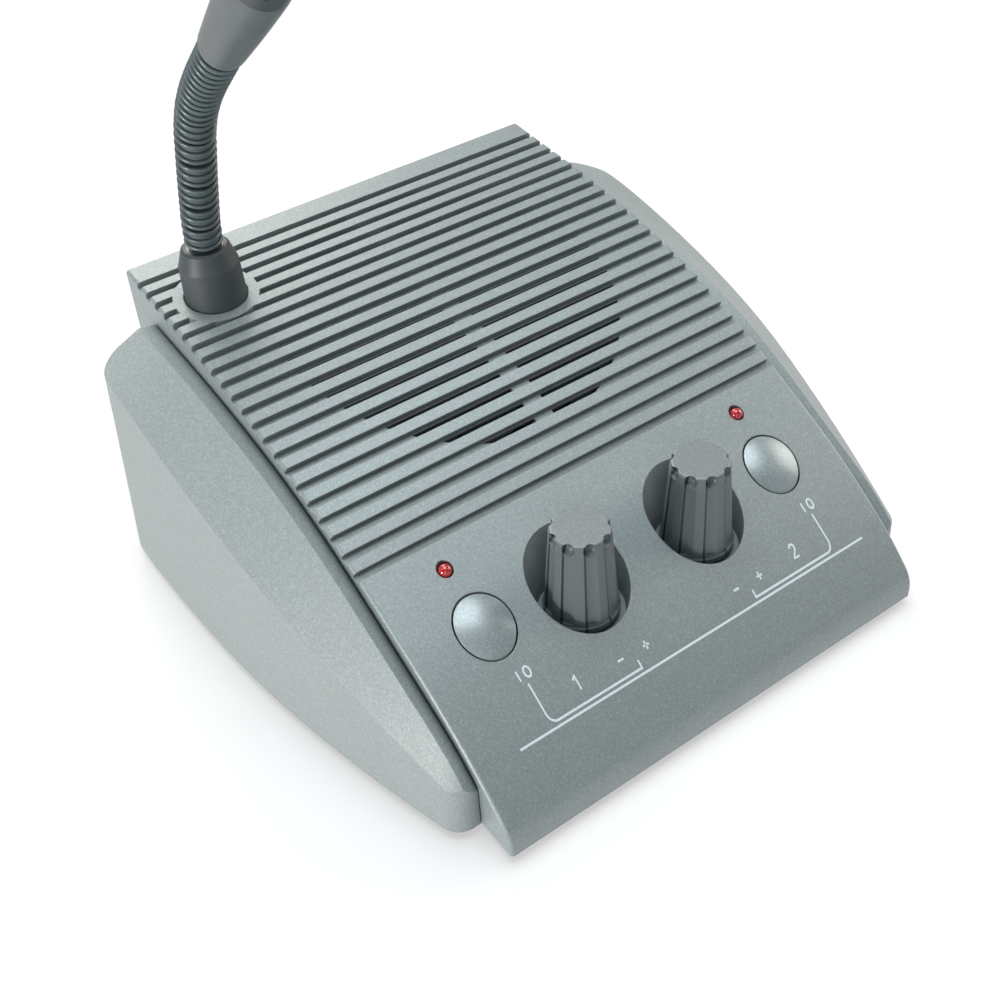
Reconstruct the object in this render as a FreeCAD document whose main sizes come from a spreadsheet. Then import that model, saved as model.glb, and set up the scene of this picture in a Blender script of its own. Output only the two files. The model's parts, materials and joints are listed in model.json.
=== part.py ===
import FreeCAD, Part
import math
import os
from FreeCAD import Placement, Rotation, Vector

# Teller window intercom, desk station: a low wedge-shaped case with a ribbed
# speaker deck, a sloped control panel, a cheek on either side and a gooseneck
# microphone at the rear left.
# Frame: +Z up, +X to the user's right, the user sits on the -Y side.
# Origin: middle of the footprint, on the table.

doc = FreeCAD.newDocument("teller_window_intercom")
sheet = doc.addObject("Spreadsheet::Sheet", "Sizes")

SIZES = {
    # case
    "deck_width": 115.0,
    "case_depth": 154.4,
    "wall": 2.4,
    "shell_bottom": 2.5,
    "lip_height": 2.0,
    "edge_round": 0.9,
    "rear_lean": 4.0,
    # side profile of the deck, front to rear: radius of each arc and the
    # slope, in degrees above level, where it ends
    "nose_radius": 8.0,
    "nose_slope": 47.0,
    "brow_radius": 90.0,
    "brow_slope": 38.0,
    "panel_radius": 150.0,
    "panel_slope": 27.5,
    "panel_flat": 17.0,
    "shoulder_radius": 180.0,
    "shoulder_slope": 15.0,
    "crown_radius": 255.0,
    "crown_slope": 6.0,
    # ribbed deck
    "groove_count": 22,
    "groove_pitch": 4.61,
    "groove_width": 2.0,
    "groove_depth": 1.5,
    "first_groove": 163.4,
    "slot_width": 1.25,
    "slot_circle": 41.2,
    "slot_bridge": 4.8,
    "speaker_y": 24.0,
    # cheeks
    "cheek_front": 11.2,
    "cheek_rear": 133.5,
    "cheek_bulge": 22.2,
    "cheek_plan_radius": 410.0,
    "cheek_lean": 4.5,
    "cheek_wall": 2.2,
    "cheek_end_wall": 3.5,
    "cheek_front_round": 5.0,
    "cheek_rear_round": 7.0,
    "cheek_gap": 0.2,
    "crest_front": 3.0,
    "crest_rear": 4.6,
    "crest_drop": 2.5,
    "valley_drop": 4.2,
    "edge_rise": 21.9,
    "edge_front_height": 13.8,
    "edge_bend_y": 30.0,
    "edge_rear_rise": 3.0,
    # base plate and feet
    "plate_inset": 1.2,
    "plate_thick": 1.45,
    "foot_radius": 6.5,
    "foot_x": 46.0,
    "foot_front_y": -44.0,
    "foot_rear_y": 52.0,
    # case screws and posts
    "post_radius": 3.4,
    "post_x": 51.4,
    "post_front_y": -58.0,
    "post_rear_y": 66.0,
    "screw_radius": 1.5,
    "screw_gap": 0.06,
    "screw_head_radius": 2.8,
    "screw_head_height": 0.8,
    "case_screw_length": 12.0,
    # circuit board
    "board_half_width": 46.5,
    "board_front_y": -66.0,
    "board_rear_y": 72.0,
    "board_bottom": 8.4,
    "board_thick": 1.6,
    "standoff_radius": 3.0,
    "standoff_x": 41.5,
    "standoff_front_y": -61.0,
    "standoff_rear_y": 58.0,
    "board_screw_length": 6.0,
    # volume knobs, which stand upright in round wells
    "knob_x": 16.3,
    "knob_y": -47.7,
    "knob_top": 46.5,
    "knob_bottom": 23.4,
    "knob_top_radius": 6.5,
    "knob_base_radius": 8.0,
    "knob_flutes": 9,
    "flute_radius": 4.2,
    "flute_depth": 0.55,
    "dimple_radius": 1.45,
    "well_radius": 11.2,
    "well_floor_radius": 9.6,
    "well_floor": 22.4,
    "well_wall": 1.8,
    "shaft_radius": 3.0,
    "shaft_fit": 0.06,
    "shaft_length": 20.0,
    "bushing_radius": 3.9,
    "bushing_length": 5.0,
    "nut_flat": 10.0,
    "nut_height": 1.8,
    "pot_side": 13.0,
    # push buttons, which travel upright
    "button_x": 40.0,
    "button_y": -46.3,
    "button_radius": 6.3,
    "button_gap": 0.35,
    "button_dome": 1.3,
    "button_dome_radius": 17.0,
    "button_travel": 2.0,
    "flange_radius": 7.8,
    "flange_thick": 1.4,
    "stem_radius": 2.6,
    "switch_side": 8.0,
    "switch_height": 8.0,
    "plunger_radius": 1.6,
    # indicator lamps
    "lamp_x": 40.6,
    "lamp_y": -33.6,
    "lamp_radius": 1.5,
    "lamp_gap": 0.3,
    "lamp_proud": 1.0,
    "lamp_body": 5.0,
    # speaker
    "speaker_radius": 43.0,
    "speaker_depth": 27.0,
    "speaker_drop": 8.8,
    "flange_width": 5.5,
    "speaker_flange": 1.6,
    "seat_wall": 1.8,
    "lug_reach": 2.6,
    "lug_radius": 3.0,
    "speaker_screw_length": 6.5,
    "magnet_radius": 21.0,
    "magnet_height": 9.0,
    "cloth_thick": 0.35,
    # gooseneck
    "neck_x": -44.2,
    "neck_y": 52.6,
    "pad_radius": 10.0,
    "boot_radius": 7.2,
    "boot_height": 9.5,
    "boot_cone": 4.4,
    "boot_top_radius": 5.0,
    "stem_bore": 4.3,
    "core_radius": 3.75,
    "ring_radius": 0.55,
    "ring_outer": 4.35,
    "ring_pitch": 2.17,
    "ball_radius": 3.2,
    "ball_gap": 0.3,
    "link_gap": 0.5,
    "neck_nut_flat": 12.0,
    "neck_nut_height": 4.0,
    # microphone head
    "head_low_radius": 5.3,
    "head_radius": 7.4,
    "head_length": 30.0,
    "grille_length": 11.0,
    "grille_wall": 1.2,
    "capsule_radius": 4.8,
    "capsule_height": 6.0,
    # sockets at the rear
    "jack_x": 18.0,
    "jack_hole_gap": 0.3,
}

# lean of each link of the gooseneck from upright, towards the user
LEANS = [11.0, 19.0, 19.0, 21.0, 21.0, 31.0, 40.0, 46.0, 49.0, 49.0]
HEAD_LEAN = 50.0
RINGS_PER_LINK = 3

for row, (alias, value) in enumerate(SIZES.items(), start=1):
    sheet.set(f"A{row}", alias)
    sheet.set(f"B{row}", str(value))
    sheet.setAlias(f"B{row}", alias)
doc.recompute()


def size(name):
    return float(sheet.get(name))


def bind(obj, **expressions):
    for prop, expression in expressions.items():
        obj.setExpression(prop, expression)


def place(obj, at, rotation=None):
    obj.Placement = Placement(Vector(*at), rotation or Rotation())


def upright(name, radius, height, at, rotation=None):
    """A cylinder along its own Z, radius and height as expressions."""
    obj = doc.addObject("Part::Cylinder", name)
    bind(obj, Radius=radius, Height=height)
    place(obj, at, rotation)
    return obj


def block(name, length, width, height, at, rotation=None):
    obj = doc.addObject("Part::Box", name)
    bind(obj, Length=length, Width=width, Height=height)
    place(obj, at, rotation)
    return obj


def join(name, parts):
    obj = doc.addObject("Part::MultiFuse", name)
    obj.Shapes = parts
    return obj


def cut(name, base, tool):
    obj = doc.addObject("Part::Cut", name)
    obj.Base = base
    obj.Tool = tool
    return obj


def common(name, base, tool):
    obj = doc.addObject("Part::Common", name)
    obj.Base = base
    obj.Tool = tool
    return obj


def group(name, parts):
    """Identical separate pieces kept in one node."""
    obj = doc.addObject("Part::Compound", name)
    obj.Links = parts
    return obj


def extrude(name, sketch, direction, length, both=False):
    obj = doc.addObject("Part::Extrusion", name)
    obj.Base = sketch
    obj.DirMode = "Custom"
    obj.Dir = Vector(*direction)
    obj.Solid = True
    obj.Symmetric = both
    obj.setExpression("LengthFwd", length)
    return obj


def revolve(name, sketch):
    """A full turn of a sketch about the Z axis."""
    obj = doc.addObject("Part::Revolution", name)
    obj.Source = sketch
    obj.Axis = Vector(0, 0, 1)
    obj.Base = Vector(0, 0, 0)
    obj.Angle = 360
    obj.Solid = True
    return obj


SIDE = Rotation(Vector(0, 1, 0), Vector(0, 0, 1), Vector(1, 0, 0), "XYZ")
FRONT = Rotation(Vector(1, 0, 0), Vector(0, 0, 1), Vector(0, -1, 0), "XYZ")


def sketch_of(name, edges, rotation=None, at=(0, 0, 0)):
    """A sketch of lines and arcs given as (start, end) or (start, mid, end)."""
    obj = doc.addObject("Sketcher::SketchObject", name)
    obj.Placement = Placement(Vector(*at), rotation or Rotation())
    geometry = []
    for edge in edges:
        points = [Vector(p[0], p[1], 0) for p in edge]
        if len(points) == 2:
            geometry.append(Part.LineSegment(*points))
        else:
            geometry.append(Part.Arc(*points))
    obj.addGeometry(geometry, False)
    return obj


def closed(points):
    """Straight edges round a list of corners."""
    return [(points[i], points[(i + 1) % len(points)]) for i in range(len(points))]


# ---------------------------------------------------------------- deck profile
FRONT_Y = -size("case_depth") / 2
REAR_Y = size("case_depth") / 2
DECK_HALF = size("deck_width") / 2


class Profile:
    """Side profile of the deck as a chain of tangent arcs and lines, in (y, z),
    sunk below the outer surface by an even depth."""

    def __init__(self, sink=0.0):
        self.sink = sink
        self.pieces = []
        start = (FRONT_Y + sink, size("shell_bottom"))
        top = (start[0], start[1] + size("lip_height"))
        self.pieces.append(("line", start, top, 90.0, 90.0, None))
        self.at = top
        self.slope = 90.0
        self.arc("nose_radius", "nose_slope")
        self.arc("brow_radius", "brow_slope")
        self.arc("panel_radius", "panel_slope")
        self.line(size("panel_flat"))
        self.arc("shoulder_radius", "shoulder_slope")
        self.arc("crown_radius", "crown_slope")
        run = (REAR_Y - self.lean_at(self.at[1]) - sink - self.at[0]) / math.cos(math.radians(self.slope))
        self.line(run)

    def lean_at(self, height):
        return height * math.tan(math.radians(size("rear_lean")))

    def arc(self, radius_name, slope_name):
        radius = size(radius_name) - self.sink
        a, b = math.radians(self.slope), math.radians(size(slope_name))
        centre = (self.at[0] + radius * math.sin(a), self.at[1] - radius * math.cos(a))
        end = (centre[0] - radius * math.sin(b), centre[1] + radius * math.cos(b))
        self.pieces.append(("arc", self.at, end, self.slope, size(slope_name), (centre, radius)))
        self.at = end
        self.slope = size(slope_name)

    def line(self, length):
        a = math.radians(self.slope)
        end = (self.at[0] + length * math.cos(a), self.at[1] + length * math.sin(a))
        self.pieces.append(("line", self.at, end, self.slope, self.slope, None))
        self.at = end

    def length(self, piece):
        kind, start, end, a, b, arc = piece
        if kind == "line":
            return math.dist(start, end)
        return arc[1] * math.radians(a - b)

    def point_at_length(self, run):
        """Point and slope at a length along the chain from the bottom of the nose."""
        for piece in self.pieces:
            span = self.length(piece)
            if run <= span or piece is self.pieces[-1]:
                kind, start, end, a, b, arc = piece
                share = run / span
                slope = a + (b - a) * share
                if kind == "line":
                    return (start[0] + (end[0] - start[0]) * share, start[1] + (end[1] - start[1]) * share), slope
                turn = math.radians(slope)
                centre, radius = arc
                return (centre[0] - radius * math.sin(turn), centre[1] + radius * math.cos(turn)), slope
            run -= span

    def at_y(self, y):
        """Height and slope of the surface at one y."""
        for kind, start, end, a, b, arc in self.pieces[1:]:
            if y <= end[0] or kind == "line" and end is self.at:
                if kind == "line":
                    return start[1] + (y - start[0]) * math.tan(math.radians(a)), a
                centre, radius = arc
                turn = math.asin(min(1.0, (centre[0] - y) / radius))
                return centre[1] + radius * math.cos(turn), math.degrees(turn)
        return self.at[1], self.slope

    def edges(self):
        """The chain as sketch edges."""
        out = []
        for kind, start, end, a, b, arc in self.pieces:
            if kind == "line":
                out.append((start, end))
            else:
                turn = math.radians((a + b) / 2)
                centre, radius = arc
                middle = (centre[0] - radius * math.sin(turn), centre[1] + radius * math.cos(turn))
                out.append((start, middle, end))
        return out

    def section(self, bottom):
        """The chain closed by the rear wall and a level bottom."""
        rear_top = self.at
        rear_low = (REAR_Y - self.lean_at(bottom) - self.sink, bottom)
        front_low = (FRONT_Y + self.sink, bottom)
        edges = self.edges()
        edges[0] = (front_low, edges[0][1])
        return edges + [(rear_top, rear_low), (rear_low, front_low)]


surface = Profile()


def surface_height(y):
    return surface.at_y(y)[0]


def tilt_about_x(degrees):
    return Rotation(Vector(1, 0, 0), degrees)


# ---------------------------------------------------------------- deck shell
deck_section = sketch_of("deck_section", surface.section(size("shell_bottom")), SIDE)
deck_block = extrude("deck_block", deck_section, (1, 0, 0), "Sizes.deck_width", both=True)
doc.recompute()

side_edges = []
for number, edge in enumerate(deck_block.Shape.Edges, start=1):
    middle = edge.valueAt((edge.FirstParameter + edge.LastParameter) / 2)
    on_side = abs(abs(middle.x) - DECK_HALF) < 1e-6
    on_top = abs(middle.z - surface_height(middle.y)) < 1e-3 and middle.z > size("shell_bottom") + size("lip_height")
    if on_side and on_top:
        side_edges.append((number, size("edge_round"), size("edge_round")))
deck_rounded = doc.addObject("Part::Fillet", "deck_rounded")
deck_rounded.Base = deck_block
deck_rounded.Edges = side_edges

inside = Profile(size("wall"))
inside_section = sketch_of("inside_section", inside.section(size("shell_bottom") - 1), SIDE)
deck_inside = extrude("deck_inside", inside_section, (1, 0, 0), "Sizes.deck_width - 2 * Sizes.wall", both=True)
deck_shell = cut("deck_shell", deck_rounded, deck_inside)

# walls that stand inside the shell and end at its skin: the knob wells, the
# speaker seat, the screw posts and the gooseneck boss
inner_walls = []
well_outer = "Sizes.well_radius + Sizes.well_wall"
for side, sign in (("left", -1), ("right", 1)):
    foot = (sign * size("knob_x"), size("knob_y"), size("well_floor") - size("well_wall"))
    inner_walls.append(upright(f"well_{side}", well_outer, "Sizes.case_depth / 4", foot))
    for end, y in (("front", size("post_front_y")), ("rear", size("post_rear_y"))):
        base = (sign * size("post_x"), y, size("shell_bottom"))
        inner_walls.append(upright(f"post_{side}_{end}", "Sizes.post_radius", "Sizes.case_depth / 2", base))

speaker_height, speaker_slope = surface.at_y(size("speaker_y"))
speaker_turn = tilt_about_x(speaker_slope)
speaker_axis = speaker_turn.multVec(Vector(0, 0, 1))
speaker_top = Vector(0, size("speaker_y"), speaker_height)
flange_seat = speaker_top - speaker_axis * size("speaker_drop")
seat_out = upright("seat_outer", "Sizes.speaker_radius + Sizes.seat_wall", "2 * Sizes.speaker_drop", flange_seat, speaker_turn)
seat_in = upright("seat_inner", "Sizes.speaker_radius - Sizes.flange_width / 2", "3 * Sizes.speaker_drop",
                  flange_seat - speaker_axis * size("speaker_drop") / 2, speaker_turn)
inner_walls.append(cut("speaker_seat", seat_out, seat_in))
lug_places = []
for number in range(4):
    spin = Rotation(Vector(0, 0, 1), 45 + 90 * number)
    lug_places.append(spin.multVec(Vector(size("speaker_radius") + size("lug_reach"), 0, 0)))
for number, spot in enumerate(lug_places):
    foot = flange_seat + speaker_turn.multVec(spot)
    inner_walls.append(upright(f"speaker_post_{number}", "Sizes.lug_radius", "3 * Sizes.speaker_drop", foot, speaker_turn))

pad_height = surface_height(size("neck_y") - size("boot_radius")) - 0.15
boss_foot = (size("neck_x"), size("neck_y"), pad_height - 2 * size("wall"))
inner_walls.append(upright("neck_boss", "Sizes.boot_radius + 1", "4 * Sizes.wall", boss_foot))

walls_joined = join("inner_walls", inner_walls)
walls_trimmed = common("walls_trimmed", walls_joined, deck_block)
deck_full = join("deck_full", [deck_shell, walls_trimmed])


def groove_row(number):
    """Front top edge of the rib behind one groove, and the slope there."""
    return surface.point_at_length(size("first_groove") - number * size("groove_pitch"))


def rung(number, width, depth, rise, shift=0.0):
    """Cross-section of one groove: a slanted rectangle hung from its rib."""
    (y, z), slope = groove_row(number)
    turn = math.radians(slope)
    along = (math.cos(turn), math.sin(turn))
    out = (-math.sin(turn), math.cos(turn))
    corners = []
    for run, lift in ((-shift, rise), (-shift, -depth), (-shift - width, -depth), (-shift - width, rise)):
        corners.append((y + along[0] * run + out[0] * lift, z + along[1] * run + out[1] * lift))
    return corners


rows = range(int(size("groove_count")))
groove_edges = []
slot_edges = []
slot_shift = (size("groove_width") - size("slot_width")) / 2
for number in rows:
    groove_edges += closed(rung(number, size("groove_width"), size("groove_depth"), 2.0))
    slot_edges += closed(rung(number, size("slot_width"), 3 * size("wall"), 1.0, slot_shift))
groove_sketch = sketch_of("groove_sketch", groove_edges, SIDE)
groove_bars = extrude("groove_bars", groove_sketch, (1, 0, 0), "Sizes.deck_width + 4", both=True)
pad_keep = upright("pad_keep", "Sizes.pad_radius", "4 * Sizes.boot_radius",
                   (size("neck_x"), size("neck_y"), pad_height - 2 * size("boot_radius")))
grooves = cut("grooves", groove_bars, pad_keep)

slot_sketch = sketch_of("slot_sketch", slot_edges, SIDE)
slot_bars = extrude("slot_bars", slot_sketch, (1, 0, 0), "2 * Sizes.slot_circle + 2", both=True)
slot_disc = upright("slot_disc", "Sizes.slot_circle", "Sizes.case_depth / 2",
                    (0, size("speaker_y"), size("well_floor")))
slot_area = common("slot_area", slot_bars, slot_disc)
bridge = block("slot_bridge", "Sizes.slot_bridge", "Sizes.case_depth", "Sizes.case_depth",
               (-size("slot_bridge") / 2, -size("case_depth") / 4, 0))
pad_rim = upright("pad_rim", "Sizes.pad_radius + 1.5", "Sizes.case_depth",
                  (size("neck_x"), size("neck_y"), 0))
slots = cut("slots", slot_area, join("slot_keep", [bridge, pad_rim]))

openings = [grooves, slots]
for side, sign in (("left", -1), ("right", 1)):
    x = sign * size("knob_x")
    rise = surface_height(size("knob_y") + size("well_radius")) + 2 - size("well_floor")
    flare = (size("well_radius") - size("well_floor_radius")) / (surface_height(size("knob_y")) - size("well_floor"))
    well = doc.addObject("Part::Cone", f"well_space_{side}")
    bind(well, Radius1="Sizes.well_floor_radius")
    well.Radius2 = size("well_floor_radius") + flare * rise
    well.Height = rise
    place(well, (x, size("knob_y"), size("well_floor")))
    openings.append(well)
    openings.append(upright(f"bushing_hole_{side}", "Sizes.bushing_radius + 0.1", "3 * Sizes.well_wall",
                            (x, size("knob_y"), size("well_floor") - 2 * size("well_wall"))))
    button_floor = surface_height(size("button_y") - size("flange_radius")) - 4 * size("wall")
    openings.append(upright(f"button_hole_{side}", "Sizes.button_radius + Sizes.button_gap", "10 * Sizes.wall",
                            (sign * size("button_x"), size("button_y"), button_floor)))
    lamp_floor = surface_height(size("lamp_y")) - 3 * size("wall")
    openings.append(upright(f"lamp_hole_{side}", "Sizes.lamp_radius + Sizes.lamp_gap", "6 * Sizes.wall",
                            (sign * size("lamp_x"), size("lamp_y"), lamp_floor)))
    for end, y in (("front", size("post_front_y")), ("rear", size("post_rear_y"))):
        openings.append(upright(f"post_bore_{side}_{end}", "Sizes.screw_radius + Sizes.screw_gap",
                                "Sizes.case_screw_length", (sign * size("post_x"), y, size("shell_bottom") - 0.5)))
for number, spot in enumerate(lug_places):
    foot = flange_seat + speaker_turn.multVec(spot) - speaker_axis * 2
    openings.append(upright(f"lug_bore_{number}", "Sizes.screw_radius + Sizes.screw_gap",
                            "Sizes.speaker_screw_length", foot, speaker_turn))
openings.append(upright("boot_seat", "Sizes.boot_radius + 0.3", "2 * Sizes.wall",
                        (size("neck_x"), size("neck_y"), pad_height)))
openings.append(upright("neck_hole", "Sizes.stem_bore", "8 * Sizes.wall",
                        (size("neck_x"), size("neck_y"), pad_height - 6 * size("wall"))))

# sockets through the rear wall
JACK_Z = size("board_bottom") + size("board_thick") + 5.0
BACKWARDS = Rotation(Vector(1, 0, 0), -90)
POWER_X = -size("jack_x")
LINE_X = size("jack_x")
openings.append(upright("power_hole", "4.0 + Sizes.jack_hole_gap", "4 * Sizes.wall",
                        (POWER_X, REAR_Y - 3 * size("wall"), JACK_Z), BACKWARDS))
openings.append(upright("line_hole", "3.0 + Sizes.jack_hole_gap", "4 * Sizes.wall",
                        (LINE_X, REAR_Y - 3 * size("wall"), JACK_Z), BACKWARDS))

# screw holes through the side walls into the cheeks
CHEEK_SCREWS = ((-21.0, 22.0), (36.0, 30.0))
SIDEWAYS = Rotation(Vector(0, 1, 0), 90)
for number, (y, z) in enumerate(CHEEK_SCREWS, start=1):
    openings.append(upright(f"cheek_screw_hole_{number}", "Sizes.screw_radius + 0.3",
                            "Sizes.deck_width + 10", (-DECK_HALF - 5, y, z), SIDEWAYS))
opening_tools = join("deck_openings", openings)
deck = cut("deck_cover", deck_full, opening_tools)

# ---------------------------------------------------------------- cheeks
CHEEK_FRONT_Y = FRONT_Y + size("cheek_front") - 0.9
CHEEK_REAR_Y = FRONT_Y + size("cheek_rear") - 0.9
BULGE_Y = CHEEK_REAR_Y - 8.0


def cheek_base_width(y):
    """Width of the cheek at the table: an arc that is widest near the rear."""
    radius = size("cheek_plan_radius")
    return size("cheek_bulge") - radius + math.sqrt(radius ** 2 - (BULGE_Y - y) ** 2)


def cheek_edge_height(y):
    """Height of the outer top edge: a straight rise that flattens towards the rear."""
    rise, rear_rise = (math.tan(math.radians(size(name))) for name in ("edge_rise", "edge_rear_rise"))
    past = max(0.0, y - size("edge_bend_y"))
    sag = (rise - rear_rise) / (2 * (CHEEK_REAR_Y - size("edge_bend_y")))
    return size("edge_front_height") + (y - CHEEK_FRONT_Y) * rise - sag * past ** 2


def cheek_station(y, wall):
    """Cross-section of a cheek at one y, as (x, z) corners, wall thickness removed."""
    edge_z = cheek_edge_height(y) - wall
    lean = math.tan(math.radians(size("cheek_lean")))
    share = (y - CHEEK_FRONT_Y) / (CHEEK_REAR_Y - CHEEK_FRONT_Y)
    crest = size("crest_front") + share * (size("crest_rear") - size("crest_front"))
    top = surface_height(y)
    inner_x = DECK_HALF + size("cheek_gap")
    low = size("shell_bottom") - (1.0 if wall else 0.0)
    foot_x = DECK_HALF + cheek_base_width(y) - wall - low * lean
    edge_x = DECK_HALF + cheek_base_width(y) - wall - edge_z * lean
    if wall:
        inner_x -= 1.0
    return [(inner_x, low), (inner_x, top - size("valley_drop") - wall),
            (DECK_HALF + crest, top - size("crest_drop") - wall), (edge_x, edge_z), (foot_x, low)]


def cheek_loft(name, front_y, rear_y, wall, steps):
    sections = []
    for step in range(steps + 1):
        y = front_y + (rear_y - front_y) * step / steps
        corners = closed(cheek_station(y, wall))
        sections.append(sketch_of(f"{name}_{step}", corners, FRONT, (0, y, 0)))
    loft = doc.addObject("Part::Loft", name)
    loft.Sections = sections
    loft.Solid = True
    loft.Ruled = False
    return loft


cheek_outer = cheek_loft("cheek_outer", CHEEK_FRONT_Y, CHEEK_REAR_Y, 0.0, 7)
doc.recompute()


def upright_edges_at(shape, y, x_min):
    """Numbers of the edges that lie in the plane of one end and rise at its outer side."""
    found = []
    for number, edge in enumerate(shape.Edges, start=1):
        a, b = edge.Vertexes[0].Point, edge.Vertexes[-1].Point
        steep = abs(a.z - b.z) > 3 * abs(a.x - b.x)
        if abs(a.y - y) < 1e-4 and abs(b.y - y) < 1e-4 and steep and min(a.x, b.x) > x_min:
            found.append(number)
    return found


cheek_rounded = doc.addObject("Part::Fillet", "cheek_rounded")
cheek_rounded.Base = cheek_outer
rounds = []
for number in upright_edges_at(cheek_outer.Shape, CHEEK_REAR_Y, DECK_HALF + 8):
    rounds.append((number, size("cheek_rear_round"), size("cheek_rear_round")))
for number in upright_edges_at(cheek_outer.Shape, CHEEK_FRONT_Y, DECK_HALF + 4):
    rounds.append((number, size("cheek_front_round"), size("cheek_front_round")))
cheek_rounded.Edges = rounds
cheek_space = cheek_loft("cheek_space", CHEEK_FRONT_Y + size("cheek_wall"),
                         CHEEK_REAR_Y - size("cheek_end_wall"), size("cheek_wall"), 7)
cheek_shell = cut("cheek_shell", cheek_rounded, cheek_space)
boss_parts = []
boss_bores = []
for number, (y, z) in enumerate(CHEEK_SCREWS, start=1):
    start = (DECK_HALF + size("cheek_gap"), y, z)
    boss_parts.append(upright(f"cheek_boss_{number}", "Sizes.post_radius", "Sizes.cheek_bulge", start, SIDEWAYS))
    boss_bores.append(upright(f"cheek_bore_{number}", "Sizes.screw_radius + Sizes.screw_gap",
                              "8", (DECK_HALF - 1, y, z), SIDEWAYS))
cheek_bosses = common("cheek_bosses", join("boss_rods", boss_parts), cheek_rounded)
cheek_solid = join("cheek_solid", [cheek_shell, cheek_bosses])
cheek_right = cut("cheek_right", cheek_solid, join("cheek_bores", boss_bores))
cheek_left = doc.addObject("Part::Mirroring", "cheek_left")
cheek_left.Source = cheek_right
cheek_left.Base = Vector(0, 0, 0)
cheek_left.Normal = Vector(1, 0, 0)

cheek_screw_parts = []
for sign in (-1, 1):
    for number, (y, z) in enumerate(CHEEK_SCREWS, start=1):
        turn = Rotation(Vector(0, 1, 0), 90 * sign)
        head_x = sign * (DECK_HALF - size("wall") - size("screw_head_height"))
        head = upright(f"cheek_screw_head_{sign + 1}_{number}", "Sizes.screw_head_radius",
                       "Sizes.screw_head_height", (head_x, y, z), turn)
        rod = upright(f"cheek_screw_rod_{sign + 1}_{number}", "Sizes.screw_radius", "9.0", (head_x, y, z), turn)
        cheek_screw_parts.append(join(f"cheek_screw_{sign + 1}_{number}", [head, rod]))
cheek_screws = group("cheek_screws", cheek_screw_parts)

# ---------------------------------------------------------------- base plate
PLATE_TOP = size("shell_bottom") - 0.05
PLATE_LOW = PLATE_TOP - size("plate_thick")


def plate_outline():
    """Outline of the case at the table, set in by the plate inset."""
    inset = size("plate_inset")
    side_x = DECK_HALF - inset
    front, rear = FRONT_Y + inset, REAR_Y - inset
    wing_front, wing_rear = CHEEK_FRONT_Y + inset + 2, CHEEK_REAR_Y - inset
    width = lambda y: DECK_HALF + cheek_base_width(y) - inset - 0.4
    middle = (wing_front + wing_rear) / 2
    corner = size("cheek_rear_round")
    rear_x = width(wing_rear) - corner
    bow = corner * math.sqrt(0.5)
    right = [((side_x, front), (side_x, wing_front)),
             ((side_x, wing_front), (width(wing_front) - 2, wing_front)),
             ((width(wing_front) - 2, wing_front), (width(wing_front + 3), wing_front + 3)),
             ((width(wing_front + 3), wing_front + 3), (width(middle), middle),
              (width(wing_rear - corner), wing_rear - corner)),
             ((width(wing_rear - corner), wing_rear - corner), (rear_x + bow, wing_rear - corner + bow), (rear_x, wing_rear)),
             ((rear_x, wing_rear), (side_x, wing_rear)),
             ((side_x, wing_rear), (side_x, rear))]
    left = []
    for edge in right:
        left.append(tuple((-x, y) for x, y in reversed(edge)))
    left.reverse()
    return right + [((side_x, rear), (-side_x, rear))] + left + [((-side_x, front), (side_x, front))]


plate_sketch = sketch_of("plate_sketch", plate_outline(), None, (0, 0, PLATE_LOW))
plate_slab = extrude("plate_slab", plate_sketch, (0, 0, 1), "Sizes.plate_thick")
stands = []
stand_bores = []
screws = []
board_screw_parts = []
feet_parts = []
for side, sign in (("left", -1), ("right", 1)):
    for end in ("front", "rear"):
        tag = f"{side}_{end}"
        stand_at = (sign * size("standoff_x"), size(f"standoff_{end}_y"), PLATE_TOP - 0.5)
        stands.append(upright(f"standoff_{tag}", "Sizes.standoff_radius",
                              f"Sizes.board_bottom - {PLATE_TOP - 0.5}", stand_at))
        bore_at = (stand_at[0], stand_at[1], PLATE_TOP)
        stand_bores.append(upright(f"standoff_bore_{tag}", "Sizes.screw_radius + Sizes.screw_gap",
                                   "Sizes.board_bottom", bore_at))
        board_top = size("board_bottom") + size("board_thick")
        low = board_top - size("board_screw_length")
        rod = upright(f"board_rod_{tag}", "Sizes.screw_radius", "Sizes.board_screw_length",
                      (stand_at[0], stand_at[1], low))
        head = upright(f"board_head_{tag}", "Sizes.screw_head_radius", "Sizes.screw_head_height + 0.8",
                       (stand_at[0], stand_at[1], board_top))
        board_screw_parts.append(join(f"board_screw_{tag}", [rod, head]))
        post_at = (sign * size("post_x"), size(f"post_{end}_y"))
        stand_bores.append(upright(f"plate_bore_{tag}", "Sizes.screw_radius + 0.2", "3 * Sizes.plate_thick",
                                   (post_at[0], post_at[1], PLATE_LOW - 1)))
        head = upright(f"case_head_{tag}", "Sizes.screw_head_radius", "Sizes.screw_head_height",
                       (post_at[0], post_at[1], PLATE_LOW - size("screw_head_height")))
        rod = upright(f"case_rod_{tag}", "Sizes.screw_radius", "Sizes.case_screw_length - 1",
                      (post_at[0], post_at[1], PLATE_LOW - 0.2))
        screws.append(join(f"case_screw_{tag}", [head, rod]))
        foot_at = (sign * size("foot_x"), size(f"foot_{end}_y"), 0)
        feet_parts.append(upright(f"foot_{tag}", "Sizes.foot_radius", f"{PLATE_LOW}", foot_at))
base_plate = cut("base_plate", join("plate_full", [plate_slab] + stands), join("plate_bores", stand_bores))
feet = group("feet", feet_parts)
case_screws = group("case_screws", screws)
board_screws = group("board_screws", board_screw_parts)

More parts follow.
